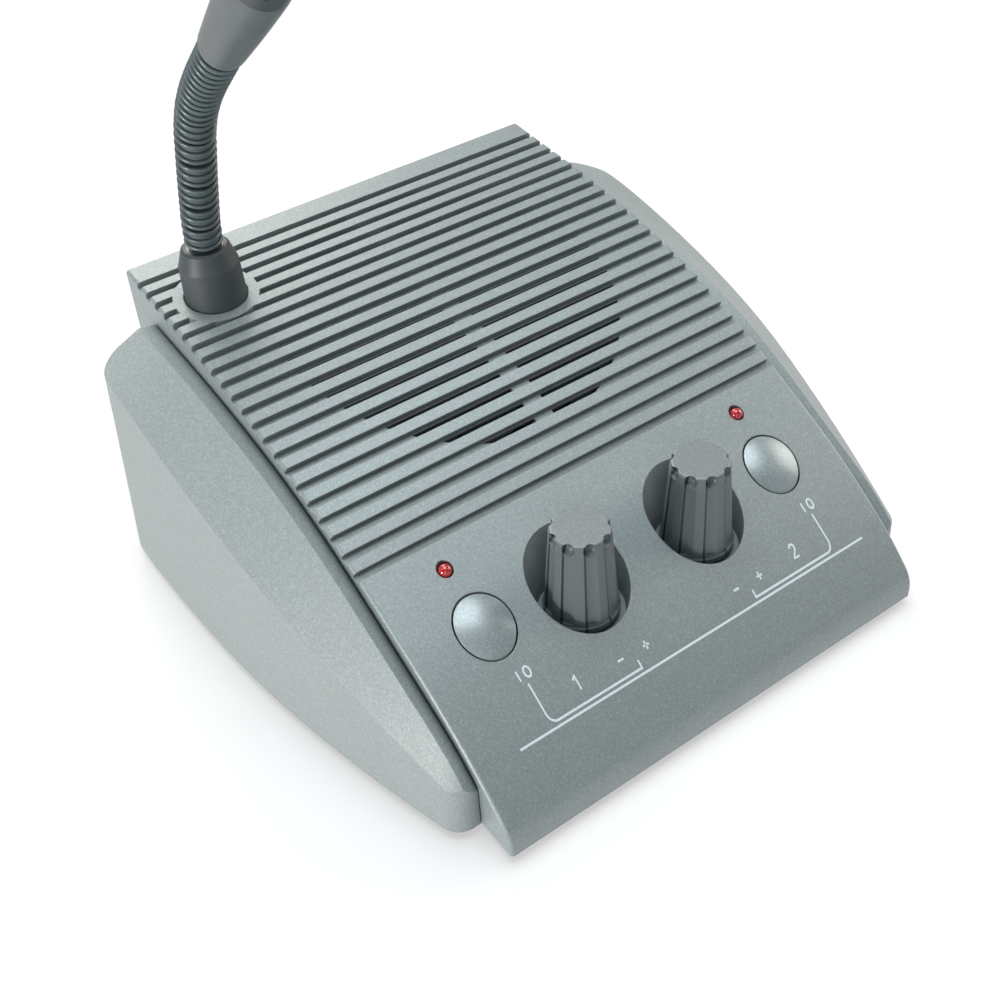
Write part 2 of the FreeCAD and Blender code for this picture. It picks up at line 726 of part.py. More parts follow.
# ---------------------------------------------------------------- circuit board
BOARD_TOP = size("board_bottom") + size("board_thick")
board_slab = block("board_slab", "2 * Sizes.board_half_width", "Sizes.board_rear_y - Sizes.board_front_y",
                   "Sizes.board_thick", (-size("board_half_width"), size("board_front_y"), size("board_bottom")))
board_holes = []
for sign in (-1, 1):
    for end in ("front", "rear"):
        board_holes.append(upright(f"board_hole_{sign + 1}_{end}", "Sizes.screw_radius + 0.1",
                                   "3 * Sizes.board_thick",
                                   (sign * size("standoff_x"), size(f"standoff_{end}_y"), size("board_bottom") - 1)))
main_board = cut("main_board", board_slab, join("board_holes", board_holes))

cans = []
for number, (x, y, radius, tall) in enumerate(((-28, -8, 4, 12), (-18, -8, 4, 12), (30, 60, 5, 9), (-32, 62, 4, 9)), start=1):
    cans.append(upright(f"capacitor_{number}", str(radius), str(tall), (x, y, BOARD_TOP)))
capacitors = group("capacitors", cans)
chips = []
for number, (x, y, long, wide, tall) in enumerate(((-4, -16, 20, 7, 3.5), (24, -14, 10, 7, 3.5), (-8, 58, 18, 7, 3.5)), start=1):
    chips.append(block(f"chip_{number}", str(long), str(wide), str(tall), (x, y, BOARD_TOP)))
amplifier_chips = group("amplifier_chips", chips)

# ---------------------------------------------------------------- sockets
power_body = block("power_body", "9", "13", "10", (POWER_X - 4.5, size("board_rear_y") - 13, BOARD_TOP))
power_barrel = upright("power_barrel", "4.0", f"{REAR_Y} - Sizes.board_rear_y - 0.6",
                       (POWER_X, size("board_rear_y") - 0.1, JACK_Z), BACKWARDS)
power_bore = upright("power_bore", "2.8", "9", (POWER_X, REAR_Y - 9, JACK_Z), BACKWARDS)
power_pin = upright("power_pin", "1.0", "7", (POWER_X, REAR_Y - 9.2, JACK_Z), BACKWARDS)
power_jack = join("power_jack", [cut("power_shell", join("power_outer", [power_body, power_barrel]), power_bore), power_pin])
line_body = block("line_body", "8", "12", "9", (LINE_X - 4, size("board_rear_y") - 12, BOARD_TOP))
line_barrel = upright("line_barrel", "3.0", f"{REAR_Y} - Sizes.board_rear_y - 0.6",
                      (LINE_X, size("board_rear_y") - 0.1, JACK_Z), BACKWARDS)
line_bore = upright("line_bore", "1.8", "12", (LINE_X, REAR_Y - 12, JACK_Z), BACKWARDS)
line_jack = cut("line_jack", join("line_outer", [line_body, line_barrel]), line_bore)

# ---------------------------------------------------------------- knobs and pots
KNOB_HEIGHT = size("knob_top") - size("knob_bottom")
KNOB_LEAN = math.degrees(math.atan2(size("knob_base_radius") - size("knob_top_radius"), KNOB_HEIGHT))


def knob_outline():
    """Half section of the knob blank: a skirt, a slight taper and a rounded top edge."""
    base, top, tall = size("knob_base_radius"), size("knob_top_radius"), KNOB_HEIGHT
    skirt, lip = 1.2, 0.35
    edge = 0.7
    return [((0, 0), (base + lip, 0)), ((base + lip, 0), (base + lip, skirt)),
            ((base + lip, skirt), (base, skirt + lip)), ((base, skirt + lip), (top, tall - edge)),
            ((top, tall - edge), (top - edge * 0.3, tall - edge * 0.3), (top - edge, tall)),
            ((top - edge, tall), (0, tall)), ((0, tall), (0, 0))]


def make_knob(side, x):
    """A tall fluted knob: nine shallow flutes, each closed by a round dimple at the top."""
    blank = revolve(f"knob_blank_{side}", sketch_of(f"knob_section_{side}", knob_outline(), FRONT))
    tools = []
    for number in range(int(size("knob_flutes"))):
        angle = 360.0 / size("knob_flutes") * number - 20.0
        spin = Rotation(Vector(0, 0, 1), angle)
        reach = size("knob_base_radius") + size("flute_radius") - size("flute_depth")
        foot = spin.multVec(Vector(0, -reach, 2.2))
        lean = spin.multiply(Rotation(Vector(1, 0, 0), -KNOB_LEAN))
        flute = upright(f"flute_{side}_{number}", "Sizes.flute_radius",
                        "Sizes.knob_top - Sizes.knob_bottom - 4.6", foot, lean)
        tools.append(flute)
        dimple = doc.addObject("Part::Sphere", f"dimple_{side}_{number}")
        bind(dimple, Radius="Sizes.dimple_radius")
        place(dimple, spin.multVec(Vector(0, -size("knob_top_radius") - 0.15, KNOB_HEIGHT - 1.1)))
        tools.append(dimple)
    tools.append(upright(f"knob_bore_{side}", "Sizes.shaft_radius + 0.02", "Sizes.shaft_length - 4",
                         (0, 0, -1)))
    tools.append(upright(f"knob_recess_{side}", "Sizes.nut_flat / 2 + 1.1",
                         "Sizes.bushing_length + 0.8", (0, 0, -1)))
    knob = cut(f"knob_{side}", blank, join(f"knob_tools_{side}", tools))
    place(knob, (x, size("knob_y"), size("knob_bottom")))
    return knob


def hex_edges(flat):
    reach = flat / math.sqrt(3)
    return closed([(reach * math.cos(math.radians(60 * k)), reach * math.sin(math.radians(60 * k))) for k in range(6)])


knobs, pots, shafts, nuts = [], [], [], []
for side, sign in (("left", -1), ("right", 1)):
    x, y = sign * size("knob_x"), size("knob_y")
    knobs.append(make_knob(side, x))
    seat = size("well_floor") - size("well_wall")
    can = block(f"pot_can_{side}", "Sizes.pot_side", "Sizes.pot_side", f"{seat - BOARD_TOP}",
                (x - size("pot_side") / 2, y - size("pot_side") / 2, BOARD_TOP))
    bushing = upright(f"pot_bushing_{side}", "Sizes.bushing_radius", "Sizes.bushing_length", (x, y, seat))
    shaft_low = seat - 4.0
    bore = upright(f"pot_bore_{side}", "Sizes.shaft_radius + Sizes.shaft_fit",
                   "Sizes.bushing_length + 8", (x, y, shaft_low - 0.3))
    pots.append(cut(f"pot_{side}", join(f"pot_solid_{side}", [can, bushing]), bore))
    shafts.append(upright(f"pot_shaft_{side}", "Sizes.shaft_radius", "Sizes.shaft_length", (x, y, shaft_low)))
    ring = extrude(f"nut_hex_{side}", sketch_of(f"nut_sketch_{side}", hex_edges(size("nut_flat")), None,
                                                (x, y, size("well_floor"))), (0, 0, 1), "Sizes.nut_height")
    nuts.append(cut(f"nut_{side}", ring, upright(f"nut_bore_{side}", "Sizes.bushing_radius", "3 * Sizes.nut_height",
                                                 (x, y, size("well_floor") - 1))))
pot_nuts = group("pot_nuts", nuts)

# ---------------------------------------------------------------- buttons, switches, lamps
BUTTON_SURFACE, BUTTON_SLOPE = surface.at_y(size("button_y"))
hole_front_y = size("button_y") - size("flange_radius")
FLANGE_TOP = inside.at_y(hole_front_y)[0] - 0.3
buttons, plungers, switches, lamps, leads = [], [], [], [], []
SWITCH_TOP = BOARD_TOP + size("switch_height")
for side, sign in (("left", -1), ("right", 1)):
    x, y = sign * size("button_x"), size("button_y")
    flange_low = FLANGE_TOP - size("flange_thick")
    cap_rod = upright(f"cap_rod_{side}", "Sizes.button_radius", "Sizes.case_depth / 4", (x, y, FLANGE_TOP - 0.5))
    normal = tilt_about_x(BUTTON_SLOPE).multVec(Vector(0, 0, 1))
    centre = Vector(x, y, BUTTON_SURFACE) - normal * (size("button_dome_radius") - size("button_dome"))
    ball = doc.addObject("Part::Sphere", f"cap_ball_{side}")
    bind(ball, Radius="Sizes.button_dome_radius")
    place(ball, centre)
    dome = common(f"cap_dome_{side}", cap_rod, ball)
    flange = upright(f"cap_flange_{side}", "Sizes.flange_radius", "Sizes.flange_thick", (x, y, flange_low))
    stem_low = SWITCH_TOP + size("button_travel") + 0.6
    stem = upright(f"cap_stem_{side}", "Sizes.stem_radius", f"{flange_low - stem_low} + 0.5", (x, y, stem_low))
    buttons.append(join(f"button_{side}", [dome, flange, stem]))
    socket = upright(f"switch_bore_{side}", "Sizes.plunger_radius + 0.3", "Sizes.switch_height",
                     (x, y, BOARD_TOP + 2.0))
    can = block(f"switch_can_{side}", "Sizes.switch_side", "Sizes.switch_side", "Sizes.switch_height",
                (x - size("switch_side") / 2, y - size("switch_side") / 2, BOARD_TOP))
    switches.append(cut(f"switch_{side}", can, socket))
    plunger_low = BOARD_TOP + 2.0 + size("button_travel") + 0.6
    plungers.append(upright(f"plunger_{side}", "Sizes.plunger_radius", f"{stem_low - plunger_low}",
                            (x, y, plunger_low)))
    lamp_x, lamp_y = sign * size("lamp_x"), size("lamp_y")
    dome_top = surface_height(lamp_y) + size("lamp_proud")
    barrel_top = dome_top - size("lamp_radius")
    barrel_low = barrel_top - size("lamp_body")
    barrel = upright(f"lamp_barrel_{side}", "Sizes.lamp_radius", "Sizes.lamp_body", (lamp_x, lamp_y, barrel_low))
    dome = doc.addObject("Part::Sphere", f"lamp_dome_{side}")
    bind(dome, Radius="Sizes.lamp_radius")
    place(dome, (lamp_x, lamp_y, barrel_top))
    lamps.append(join(f"lamp_{side}", [barrel, dome]))
    for number, shift in enumerate((-0.9, 0.4)):
        leads.append(block(f"lead_{side}_{number}", "0.5", "0.5", f"{barrel_low - BOARD_TOP}",
                           (lamp_x + shift, lamp_y - 0.25, BOARD_TOP)))
lamp_leads = group("lamp_leads", leads)

# ---------------------------------------------------------------- speaker
SPEAKER_R = size("speaker_radius")


def speaker_part(name, edges):
    obj = revolve(name, sketch_of(f"{name}_section", edges, FRONT))
    place(obj, flange_seat - speaker_axis * 0.1, speaker_turn)
    return obj


depth = size("speaker_depth")
rim = size("flange_width")
thick = size("speaker_flange")
mag_r, mag_h = size("magnet_radius"), size("magnet_height")
basket_low = -(depth - mag_h)
basket_blank = revolve("basket_blank", sketch_of("basket_section", closed([
    (SPEAKER_R, 0), (SPEAKER_R, -thick), (SPEAKER_R - rim, -thick), (mag_r - 1, basket_low + 1.2),
    (mag_r - 1, basket_low), (9, basket_low), (9, basket_low + 2.6), (mag_r - 3, basket_low + 2.6),
    (SPEAKER_R - rim - 1.5, 0)]), FRONT))
windows = []
for number in range(4):
    spin = Rotation(Vector(0, 0, 1), 45 + 90 * number)
    low = spin.multVec(Vector(mag_r + 1.5, -9, basket_low + 3.4))
    windows.append(block(f"basket_window_{number}", f"{SPEAKER_R}", "18", f"{-basket_low - 3.4 - thick - 2.4}", low, spin))
lugs = []
for number, spot in enumerate(lug_places):
    lugs.append(upright(f"basket_lug_{number}", "Sizes.lug_radius", "Sizes.speaker_flange",
                        spot - Vector(0, 0, thick)))
    windows.append(upright(f"basket_lug_hole_{number}", "Sizes.screw_radius + 0.15", "5", spot - Vector(0, 0, 3)))
basket_full = join("basket_full", [basket_blank] + lugs)
basket = cut("speaker_basket", basket_full, join("basket_windows", windows))
place(basket, flange_seat - speaker_axis * 0.1, speaker_turn)
cone = speaker_part("speaker_cone", closed([
    (SPEAKER_R - rim + 2.6, 0.05), (SPEAKER_R - rim + 2.6, 0.55), (SPEAKER_R - rim - 0.6, 0.55),
    (SPEAKER_R - rim - 2.2, 2.0), (SPEAKER_R - rim - 4.2, 2.0), (SPEAKER_R - rim - 5.8, 0.6),
    (10.0, -12.6), (8.0, -9.8), (0, -8.4), (0, -9.0), (7.6, -10.4), (7.6, basket_low + 3.0),
    (8.2, basket_low + 3.0), (8.2, -13.4), (10.0, -13.4), (SPEAKER_R - rim - 5.0, 0.05)]))
magnet = speaker_part("speaker_magnet", closed([
    (mag_r, basket_low - 0.1), (mag_r, -depth), (0, -depth), (0, basket_low - 0.8), (6.8, basket_low - 0.8),
    (6.8, basket_low - 5.0), (9.2, basket_low - 5.0), (9.2, basket_low - 0.1)]))

# screws up through the lugs of the speaker frame
lug_screws = []
for number, spot in enumerate(lug_places):
    under = flange_seat + speaker_turn.multVec(spot) - speaker_axis * (thick + 0.1)
    head = upright(f"lug_head_{number}", "Sizes.screw_head_radius", "Sizes.screw_head_height + 0.8",
                   under - speaker_axis * (size("screw_head_height") + 0.8), speaker_turn)
    rod = upright(f"lug_rod_{number}", "Sizes.screw_radius", "Sizes.speaker_screw_length - 1",
                  under - speaker_axis * 0.2, speaker_turn)
    lug_screws.append(join(f"lug_screw_{number}", [head, rod]))
speaker_screws = group("speaker_screws", lug_screws)

# grille cloth on the inside of the deck
cloth_low = Profile(size("wall") + 0.1 + size("cloth_thick"))
cloth_high = Profile(size("wall") + 0.1)
cloth_up = extrude("cloth_up", sketch_of("cloth_up_section", cloth_high.section(30.0), SIDE), (1, 0, 0),
                   "2 * Sizes.speaker_radius", both=True)
cloth_down = extrude("cloth_down", sketch_of("cloth_down_section", cloth_low.section(20.0), SIDE), (1, 0, 0),
                     "2 * Sizes.speaker_radius + 2", both=True)
cloth_skin = cut("cloth_skin", cloth_up, cloth_down)
cloth_disc = upright("cloth_disc", "Sizes.speaker_radius - Sizes.flange_width / 2 - 0.4", "3 * Sizes.speaker_drop",
                     flange_seat - speaker_axis * 2, speaker_turn)
cloth = common("speaker_cloth", cloth_skin, cloth_disc)

# ---------------------------------------------------------------- gooseneck
LINK = RINGS_PER_LINK * size("ring_pitch")
BOOT_TOP = pad_height + size("boot_height") + size("boot_cone")
NECK_START = Vector(size("neck_x"), size("neck_y"), BOOT_TOP + 0.75)

boot_blank = revolve("boot_blank", sketch_of("boot_section", [
    ((size("stem_bore"), 0), (size("boot_radius"), 0)),
    ((size("boot_radius"), 0), (size("boot_radius") - 0.25, size("boot_height"))),
    ((size("boot_radius") - 0.25, size("boot_height")), (size("boot_top_radius") + 0.6, size("boot_height") + size("boot_cone") - 0.4)),
    ((size("boot_top_radius") + 0.6, size("boot_height") + size("boot_cone") - 0.4),
     (size("boot_top_radius"), size("boot_height") + size("boot_cone"))),
    ((size("boot_top_radius"), size("boot_height") + size("boot_cone")), (size("stem_bore"), size("boot_height") + size("boot_cone"))),
    ((size("stem_bore"), size("boot_height") + size("boot_cone")), (size("stem_bore"), 0))], FRONT))
boot_blank.Label = "neck_boot"
place(boot_blank, (size("neck_x"), size("neck_y"), pad_height + 0.02))

nut_top = pad_height - 2 * size("wall") - 0.05
stem_low = nut_top - size("neck_nut_height") - 3
stem_rod = upright("stem_rod", "Sizes.stem_bore - 0.05", f"{BOOT_TOP - stem_low}",
                   (size("neck_x"), size("neck_y"), stem_low))
stem_neck = upright("stem_neck", "Sizes.core_radius", f"{NECK_START.z - size('link_gap') - BOOT_TOP + 1}",
                    (size("neck_x"), size("neck_y"), BOOT_TOP - 1))
stem_ball = doc.addObject("Part::Sphere", "stem_ball")
bind(stem_ball, Radius="Sizes.ball_radius")
place(stem_ball, NECK_START)
neck_stem = join("neck_stem", [stem_rod, stem_neck, stem_ball])
nut_hex = extrude("neck_nut_hex", sketch_of("neck_nut_sketch", hex_edges(size("neck_nut_flat")), None,
                                            (size("neck_x"), size("neck_y"), nut_top - size("neck_nut_height"))),
                  (0, 0, 1), "Sizes.neck_nut_height")
neck_nut = cut("neck_nut", nut_hex, upright("neck_nut_bore", "Sizes.stem_bore", "3 * Sizes.neck_nut_height",
                                            (size("neck_x"), size("neck_y"), stem_low)))


def link_outline():
    """Half section of one link: a cup below, three rings outside, a ball on top."""
    core, gap = size("core_radius"), size("link_gap")
    ball, cup = size("ball_radius"), size("ball_radius") + size("ball_gap")
    half, reach = size("ring_radius"), size("ring_outer")
    rim_r = math.sqrt(cup ** 2 - gap ** 2)
    throat = math.sqrt(ball ** 2 - gap ** 2)
    edges = [((0, cup), (cup * math.sin(0.6), cup * math.cos(0.6)), (rim_r, gap)), ((rim_r, gap), (core, gap))]
    low = (core, gap)
    for number in range(RINGS_PER_LINK):
        middle = size("ring_pitch") * (number + 0.5)
        start, end = (core, middle - half), (core, middle + half)
        edges.append((low, start))
        edges.append((start, (reach, middle), end))
        low = end
    edges.append((low, (core, LINK - gap)))
    edges.append(((core, LINK - gap), (throat, LINK - gap)))
    edges.append(((throat, LINK - gap), (ball * math.cos(0.6), LINK + ball * math.sin(0.6)), (0, LINK + ball)))
    edges.append(((0, LINK + ball), (0, cup)))
    return edges


link_sketch = sketch_of("link_section", link_outline(), FRONT)
joint_points = [NECK_START]
links = []
for number, lean in enumerate(LEANS, start=1):
    link = revolve(f"neck_link_{number:02d}", link_sketch)
    turn = Rotation(Vector(1, 0, 0), lean)
    start = joint_points[-1]
    place(link, start, turn)
    joint_points.append(start + turn.multVec(Vector(0, 0, LINK)))
    links.append(link)

# ---------------------------------------------------------------- microphone head
head_turn = Rotation(Vector(1, 0, 0), HEAD_LEAN)
cup_r = size("ball_radius") + size("ball_gap")
rim_r = math.sqrt(cup_r ** 2 - size("link_gap") ** 2)
low_r, high_r, head_l = size("head_low_radius"), size("head_radius"), size("head_length")
chamber = size("grille_length")
head_section = sketch_of("head_section", [
    ((0, cup_r), (cup_r * math.sin(0.6), cup_r * math.cos(0.6)), (rim_r, size("link_gap"))),
    ((rim_r, size("link_gap")), (size("core_radius"), size("link_gap"))),
    ((size("core_radius"), size("link_gap")), (low_r - 0.35, 1.5), (low_r, 2.8)),
    ((low_r, 2.8), (low_r + 1.35, head_l * 0.55), (high_r, head_l - 2)),
    ((high_r, head_l - 2), (high_r, head_l)),
    ((high_r, head_l), (high_r - size("grille_wall") - 0.3, head_l)),
    ((high_r - size("grille_wall") - 0.3, head_l), (high_r - size("grille_wall") - 0.3, head_l + 2.5)),
    ((high_r - size("grille_wall") - 0.3, head_l + 2.5), (size("capsule_radius") + 0.05, head_l + 2.5)),
    ((size("capsule_radius") + 0.05, head_l + 2.5), (size("capsule_radius") + 0.05, head_l - 2)),
    ((size("capsule_radius") + 0.05, head_l - 2), (0, head_l - 2)),
    ((0, head_l - 2), (0, cup_r))], FRONT)
mic_body = revolve("mic_body", head_section)
place(mic_body, joint_points[-1], head_turn)
mic_capsule = upright("mic_capsule", "Sizes.capsule_radius", "Sizes.capsule_height",
                      joint_points[-1] + head_turn.multVec(Vector(0, 0, head_l - 1.95)), head_turn)


def grille_outline():
    """Half section of the end cap: a short skirt and a domed top, even wall."""
    wall = size("grille_wall")
    outer, inner = high_r, high_r - wall
    skirt = chamber * 0.45
    low = head_l + 0.05
    top = low + chamber
    bend = 0.70
    mid_out = (outer * math.cos(bend), low + skirt + (chamber - skirt) * math.sin(bend))
    mid_in = (inner * math.cos(bend), low + skirt + (chamber - skirt - wall) * math.sin(bend))
    return [((inner, low), (outer, low)), ((outer, low), (outer, low + skirt)),
            ((outer, low + skirt), mid_out, (0, top)), ((0, top), (0, top - wall)),
            ((0, top - wall), mid_in, (inner, low + skirt)), ((inner, low + skirt), (inner, low))]


grille_blank = revolve("grille_blank", sketch_of("grille_section", grille_outline(), FRONT))
grille_slots = []
for number in range(3):
    spin = Rotation(Vector(0, 0, 1), 60 * number)
    low = spin.multVec(Vector(-high_r - 1, -0.6, head_l + 4.0))
    grille_slots.append(block(f"grille_slot_{number}", f"{2 * high_r + 2}", "1.2", f"{chamber - 6.5}", low, spin))
for number in range(5):
    shift = (number - 2) * 2.4
    grille_slots.append(block(f"grille_end_slot_{number}", f"{1.35 * high_r}", "1.0", "6",
                              (-0.675 * high_r, shift - 0.5, head_l + chamber - 3.0)))
mic_grille = cut("mic_grille", grille_blank, join("grille_slots", grille_slots))
place(mic_grille, joint_points[-1], head_turn)

# ---------------------------------------------------------------- check and write
NODES = [deck, cheek_left, cheek_right, cheek_screws, base_plate, feet, case_screws, main_board, board_screws,
         capacitors, amplifier_chips, power_jack, line_jack, pot_nuts, lamp_leads, basket, cone, magnet, cloth,
         boot_blank, neck_stem, neck_nut, mic_body, mic_capsule, mic_grille, speaker_screws]
NODES += knobs + pots + shafts + buttons + switches + plungers + lamps + links

doc.recompute()
for obj in doc.Objects:
    bad = [word for word in obj.State if word in ("Invalid", "Error")]
    if bad:
        raise RuntimeError(f"{obj.Name} failed: {obj.State}")
os.makedirs("parts", exist_ok=True)
for node in NODES:
    shape = node.Shape
    if shape.isNull() or not shape.isValid():
        raise RuntimeError(f"{node.Label} has no valid shape")
    shape.exportStep(f"parts/{node.Label}.step")
    box = shape.BoundBox
    print(f"{node.Label:18s} solids {len(shape.Solids)} volume {shape.Volume:9.1f} "
          f"x {box.XMin:7.1f} {box.XMax:7.1f} y {box.YMin:7.1f} {box.YMax:7.1f} z {box.ZMin:6.1f} {box.ZMax:6.1f}")
for number, point in enumerate(joint_points, start=1):
    print(f"neck joint {number:2d} at {point.x:.3f} {point.y:.3f} {point.z:.3f}")
print("speaker slope", round(speaker_slope, 2), "button slope", round(BUTTON_SLOPE, 2))
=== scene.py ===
# %% [markdown]
# # A teller window intercom, dressed for its portrait
# The station is a low wedge of moulded plastic: a ribbed deck with a speaker
# under it, a sloped panel with two volume knobs, two push buttons and two
# lamps, a cheek on each side, and a gooseneck microphone at the rear left.
# The shapes come ready made from a fixed frame of solids. This lesson gives
# each solid the finish of the real piece, adds the small things that solids
# leave out, and lights the whole. Everything is in metres, +Z is up, and the
# clerk sits on the -Y side.

# %% load the frame
import json
import math
import bpy
import bmesh
from mathutils import Matrix, Vector
from mathutils.bvhtree import BVHTree


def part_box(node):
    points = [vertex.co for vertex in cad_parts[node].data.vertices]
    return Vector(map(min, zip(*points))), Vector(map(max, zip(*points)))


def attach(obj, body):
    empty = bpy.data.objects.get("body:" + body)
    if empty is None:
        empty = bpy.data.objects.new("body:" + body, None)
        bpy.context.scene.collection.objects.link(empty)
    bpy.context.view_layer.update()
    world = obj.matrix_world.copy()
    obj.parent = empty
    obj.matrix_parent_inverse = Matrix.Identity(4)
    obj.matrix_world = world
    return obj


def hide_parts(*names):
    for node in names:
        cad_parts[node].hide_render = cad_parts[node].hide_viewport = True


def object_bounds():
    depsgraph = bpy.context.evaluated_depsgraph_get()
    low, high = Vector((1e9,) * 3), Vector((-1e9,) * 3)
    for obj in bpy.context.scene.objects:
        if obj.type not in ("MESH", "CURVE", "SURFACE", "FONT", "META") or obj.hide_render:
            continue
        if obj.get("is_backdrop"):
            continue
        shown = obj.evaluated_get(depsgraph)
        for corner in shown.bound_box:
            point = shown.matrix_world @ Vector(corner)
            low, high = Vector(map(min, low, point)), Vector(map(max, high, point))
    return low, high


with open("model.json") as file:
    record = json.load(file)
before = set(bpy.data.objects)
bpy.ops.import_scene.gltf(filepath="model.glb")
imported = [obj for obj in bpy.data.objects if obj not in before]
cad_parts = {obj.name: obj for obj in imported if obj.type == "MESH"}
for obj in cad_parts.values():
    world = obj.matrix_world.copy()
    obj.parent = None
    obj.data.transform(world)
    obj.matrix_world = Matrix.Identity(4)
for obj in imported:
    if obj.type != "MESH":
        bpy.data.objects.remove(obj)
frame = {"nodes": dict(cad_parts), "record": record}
NODES = frame["nodes"]
CAD_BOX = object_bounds()
MM = 0.001
print("box in mm:", [round(v / MM, 1) for corner in CAD_BOX for v in corner])

# %% [markdown]
# ## The camera
# A lens far from its subject flattens it; this one stands close, about 38 cm
# off, so the near nose of the case looks larger than the far rib. The camera
# is described as it would be set up on a stand: where it aims, from which
# side and how high it looks, how far off it stands, how much it is tilted
# about its own axis, and its focal length on a full-frame sensor.

# %% camera
AIM = Vector((0.02106, 0.03867, -0.02768))
AZIMUTH = math.radians(-33.0)
ELEVATION = math.radians(41.73)
ROLL = math.radians(-4.17)
DISTANCE = 0.382
FOCAL_MM = 46.97


def aim_camera():
    """A camera on a sphere round AIM, rolled about its own axis."""
    back = Vector((
        math.sin(AZIMUTH) * math.cos(ELEVATION),
        -math.cos(AZIMUTH) * math.cos(ELEVATION),
        math.sin(ELEVATION)))
    right = Vector((0, 0, 1)).cross(back).normalized()
    turned = Matrix.Rotation(ROLL, 4, back)
    right = turned @ right
    up = back.cross(right)
    rows = Matrix((right, up, back)).transposed().to_4x4()
    lens = bpy.data.cameras.new("portrait_lens")
    lens.sensor_width = 36.0
    lens.lens = FOCAL_MM
    lens.clip_start = 0.01
    camera = bpy.data.objects.new("portrait_camera", lens)
    camera.matrix_world = Matrix.Translation(AIM + back * DISTANCE) @ rows
    bpy.context.scene.collection.objects.link(camera)
    bpy.context.scene.camera = camera
    return camera


camera = aim_camera()
print("camera stands at", [round(v, 3) for v in camera.matrix_world.translation])

# %% [markdown]
# ## Colours and nodes
# Paint charts give colours as sRGB hex codes, but a renderer works with
# linear light, so one function turns the one into the other. A second small
# function adds a shader node with its settings and its links in one line,
# which keeps every material below readable.

# %% colour and node helpers


def linear(code, alpha=1.0):
    """sRGB hex code to linear RGBA."""
    parts = [int(code[i:i + 2], 16) / 255 for i in (1, 3, 5)]
    return tuple(c / 12.92 if c <= 0.04045 else ((c + 0.055) / 1.055) ** 2.4 for c in parts) + (alpha,)


def add(tree, kind, settings=None, **links):
    """Adds a shader node with its settings, a ramp's stops and its links."""
    node = tree.nodes.new(kind)
    for key, value in (settings or {}).items():
        if key != "stops":
            setattr(node, key, value)
            continue
        band = node.color_ramp.elements
        while len(band) < len(value):
            band.new(1.0)
        for element, (position, colour) in zip(band, value):
            element.position = position
            element.color = colour
    for name, value in links.items():
        socket = node.inputs[int(name[2:])] if name.startswith("i_") else node.inputs[name.replace("_", " ")]
        if isinstance(value, bpy.types.NodeSocket):
            tree.links.new(value, socket)
        else:
            socket.default_value = value
    return node


def blank_material(name):
    """A material with only a Principled shader and its output."""
    made = bpy.data.materials.new(name)
    made.use_nodes = True
    tree = made.node_tree
    tree.nodes.clear()
    shader = add(tree, "ShaderNodeBsdfPrincipled")
    add(tree, "ShaderNodeOutputMaterial", Surface=shader.outputs["BSDF"])
    return made, tree, shader


def per_metre(size_mm):
    """Texture scale for a pattern whose cells are size_mm across."""
    return 1 / (size_mm * MM)


def grey(level):
    """A neutral colour in linear light."""
    return (level, level, level, 1.0)


print("graphite #8e989a in linear light:", [round(v, 3) for v in linear("#8e989a")[:3]])

# %% [markdown]
# ## A white table and soft light
# The station stands on a white sweep. To mirror-like rays, and to rays that
# pass through clear epoxy, the sweep simply glows white. To the camera it
# glows too, but near the case only in part, so that a faint shadow stays;
# further off the glow takes over and the sweep is plain white. To all other
# rays it is a diffuse white that bounces light up at the case. A small soft
# lamp stands low on the left, where it lights the wall of the cheek far more
# than the panel, a wide one hangs overhead, one stands at the rear, and the
# others only fill.

# %% the sweep
SHADOW_SHARE = 0.55
SHADOW_NEAR, SHADOW_FAR = 0.14, 0.32
FLOOR_HALF = 1.6


def white_sweep():
    """A floor that is paper white to the camera and keeps a soft shadow."""
    made = bpy.data.materials.new("white_paper_sweep")
    made.use_nodes = True
    tree = made.node_tree
    tree.nodes.clear()
    paper = add(tree, "ShaderNodeBsdfDiffuse", Color=linear("#f4f4f4"))
    glow = add(tree, "ShaderNodeEmission", Color=linear("#ffffff"), Strength=1.0)
    path = add(tree, "ShaderNodeLightPath")
    seen = add(tree, "ShaderNodeMath", {"operation": "MAXIMUM"},
               i_0=path.outputs["Is Glossy Ray"], i_1=path.outputs["Is Transmission Ray"])
    spot = add(tree, "ShaderNodeTexCoord").outputs["Object"]
    away = add(tree, "ShaderNodeVectorMath", {"operation": "LENGTH"}, i_0=spot)
    white = add(tree, "ShaderNodeMapRange", Value=away.outputs["Value"],
                From_Min=SHADOW_NEAR, From_Max=SHADOW_FAR, To_Min=1.0 - SHADOW_SHARE, To_Max=1.0)
    camera_share = add(tree, "ShaderNodeMath", {"operation": "MULTIPLY"},
                       i_0=path.outputs["Is Camera Ray"], i_1=white.outputs[0])
    share = add(tree, "ShaderNodeMath", {"operation": "MAXIMUM"},
                i_0=seen.outputs[0], i_1=camera_share.outputs[0])
    mixed = add(tree, "ShaderNodeMixShader", Fac=share.outputs[0], i_1=paper.outputs[0], i_2=glow.outputs[0])
    add(tree, "ShaderNodeOutputMaterial", Surface=mixed.outputs[0])
    mesh = bpy.data.meshes.new("white_sweep")
    corners = [(-FLOOR_HALF, -FLOOR_HALF, 0), (FLOOR_HALF, -FLOOR_HALF, 0),
               (FLOOR_HALF, FLOOR_HALF, 0), (-FLOOR_HALF, FLOOR_HALF, 0)]
    mesh.from_pydata(corners, [], [(0, 1, 2, 3)])
    mesh.materials.append(made)
    floor = bpy.data.objects.new("white_sweep", mesh)
    bpy.context.scene.collection.objects.link(floor)
    floor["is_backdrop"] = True
    return floor


print("sweep:", white_sweep().name)

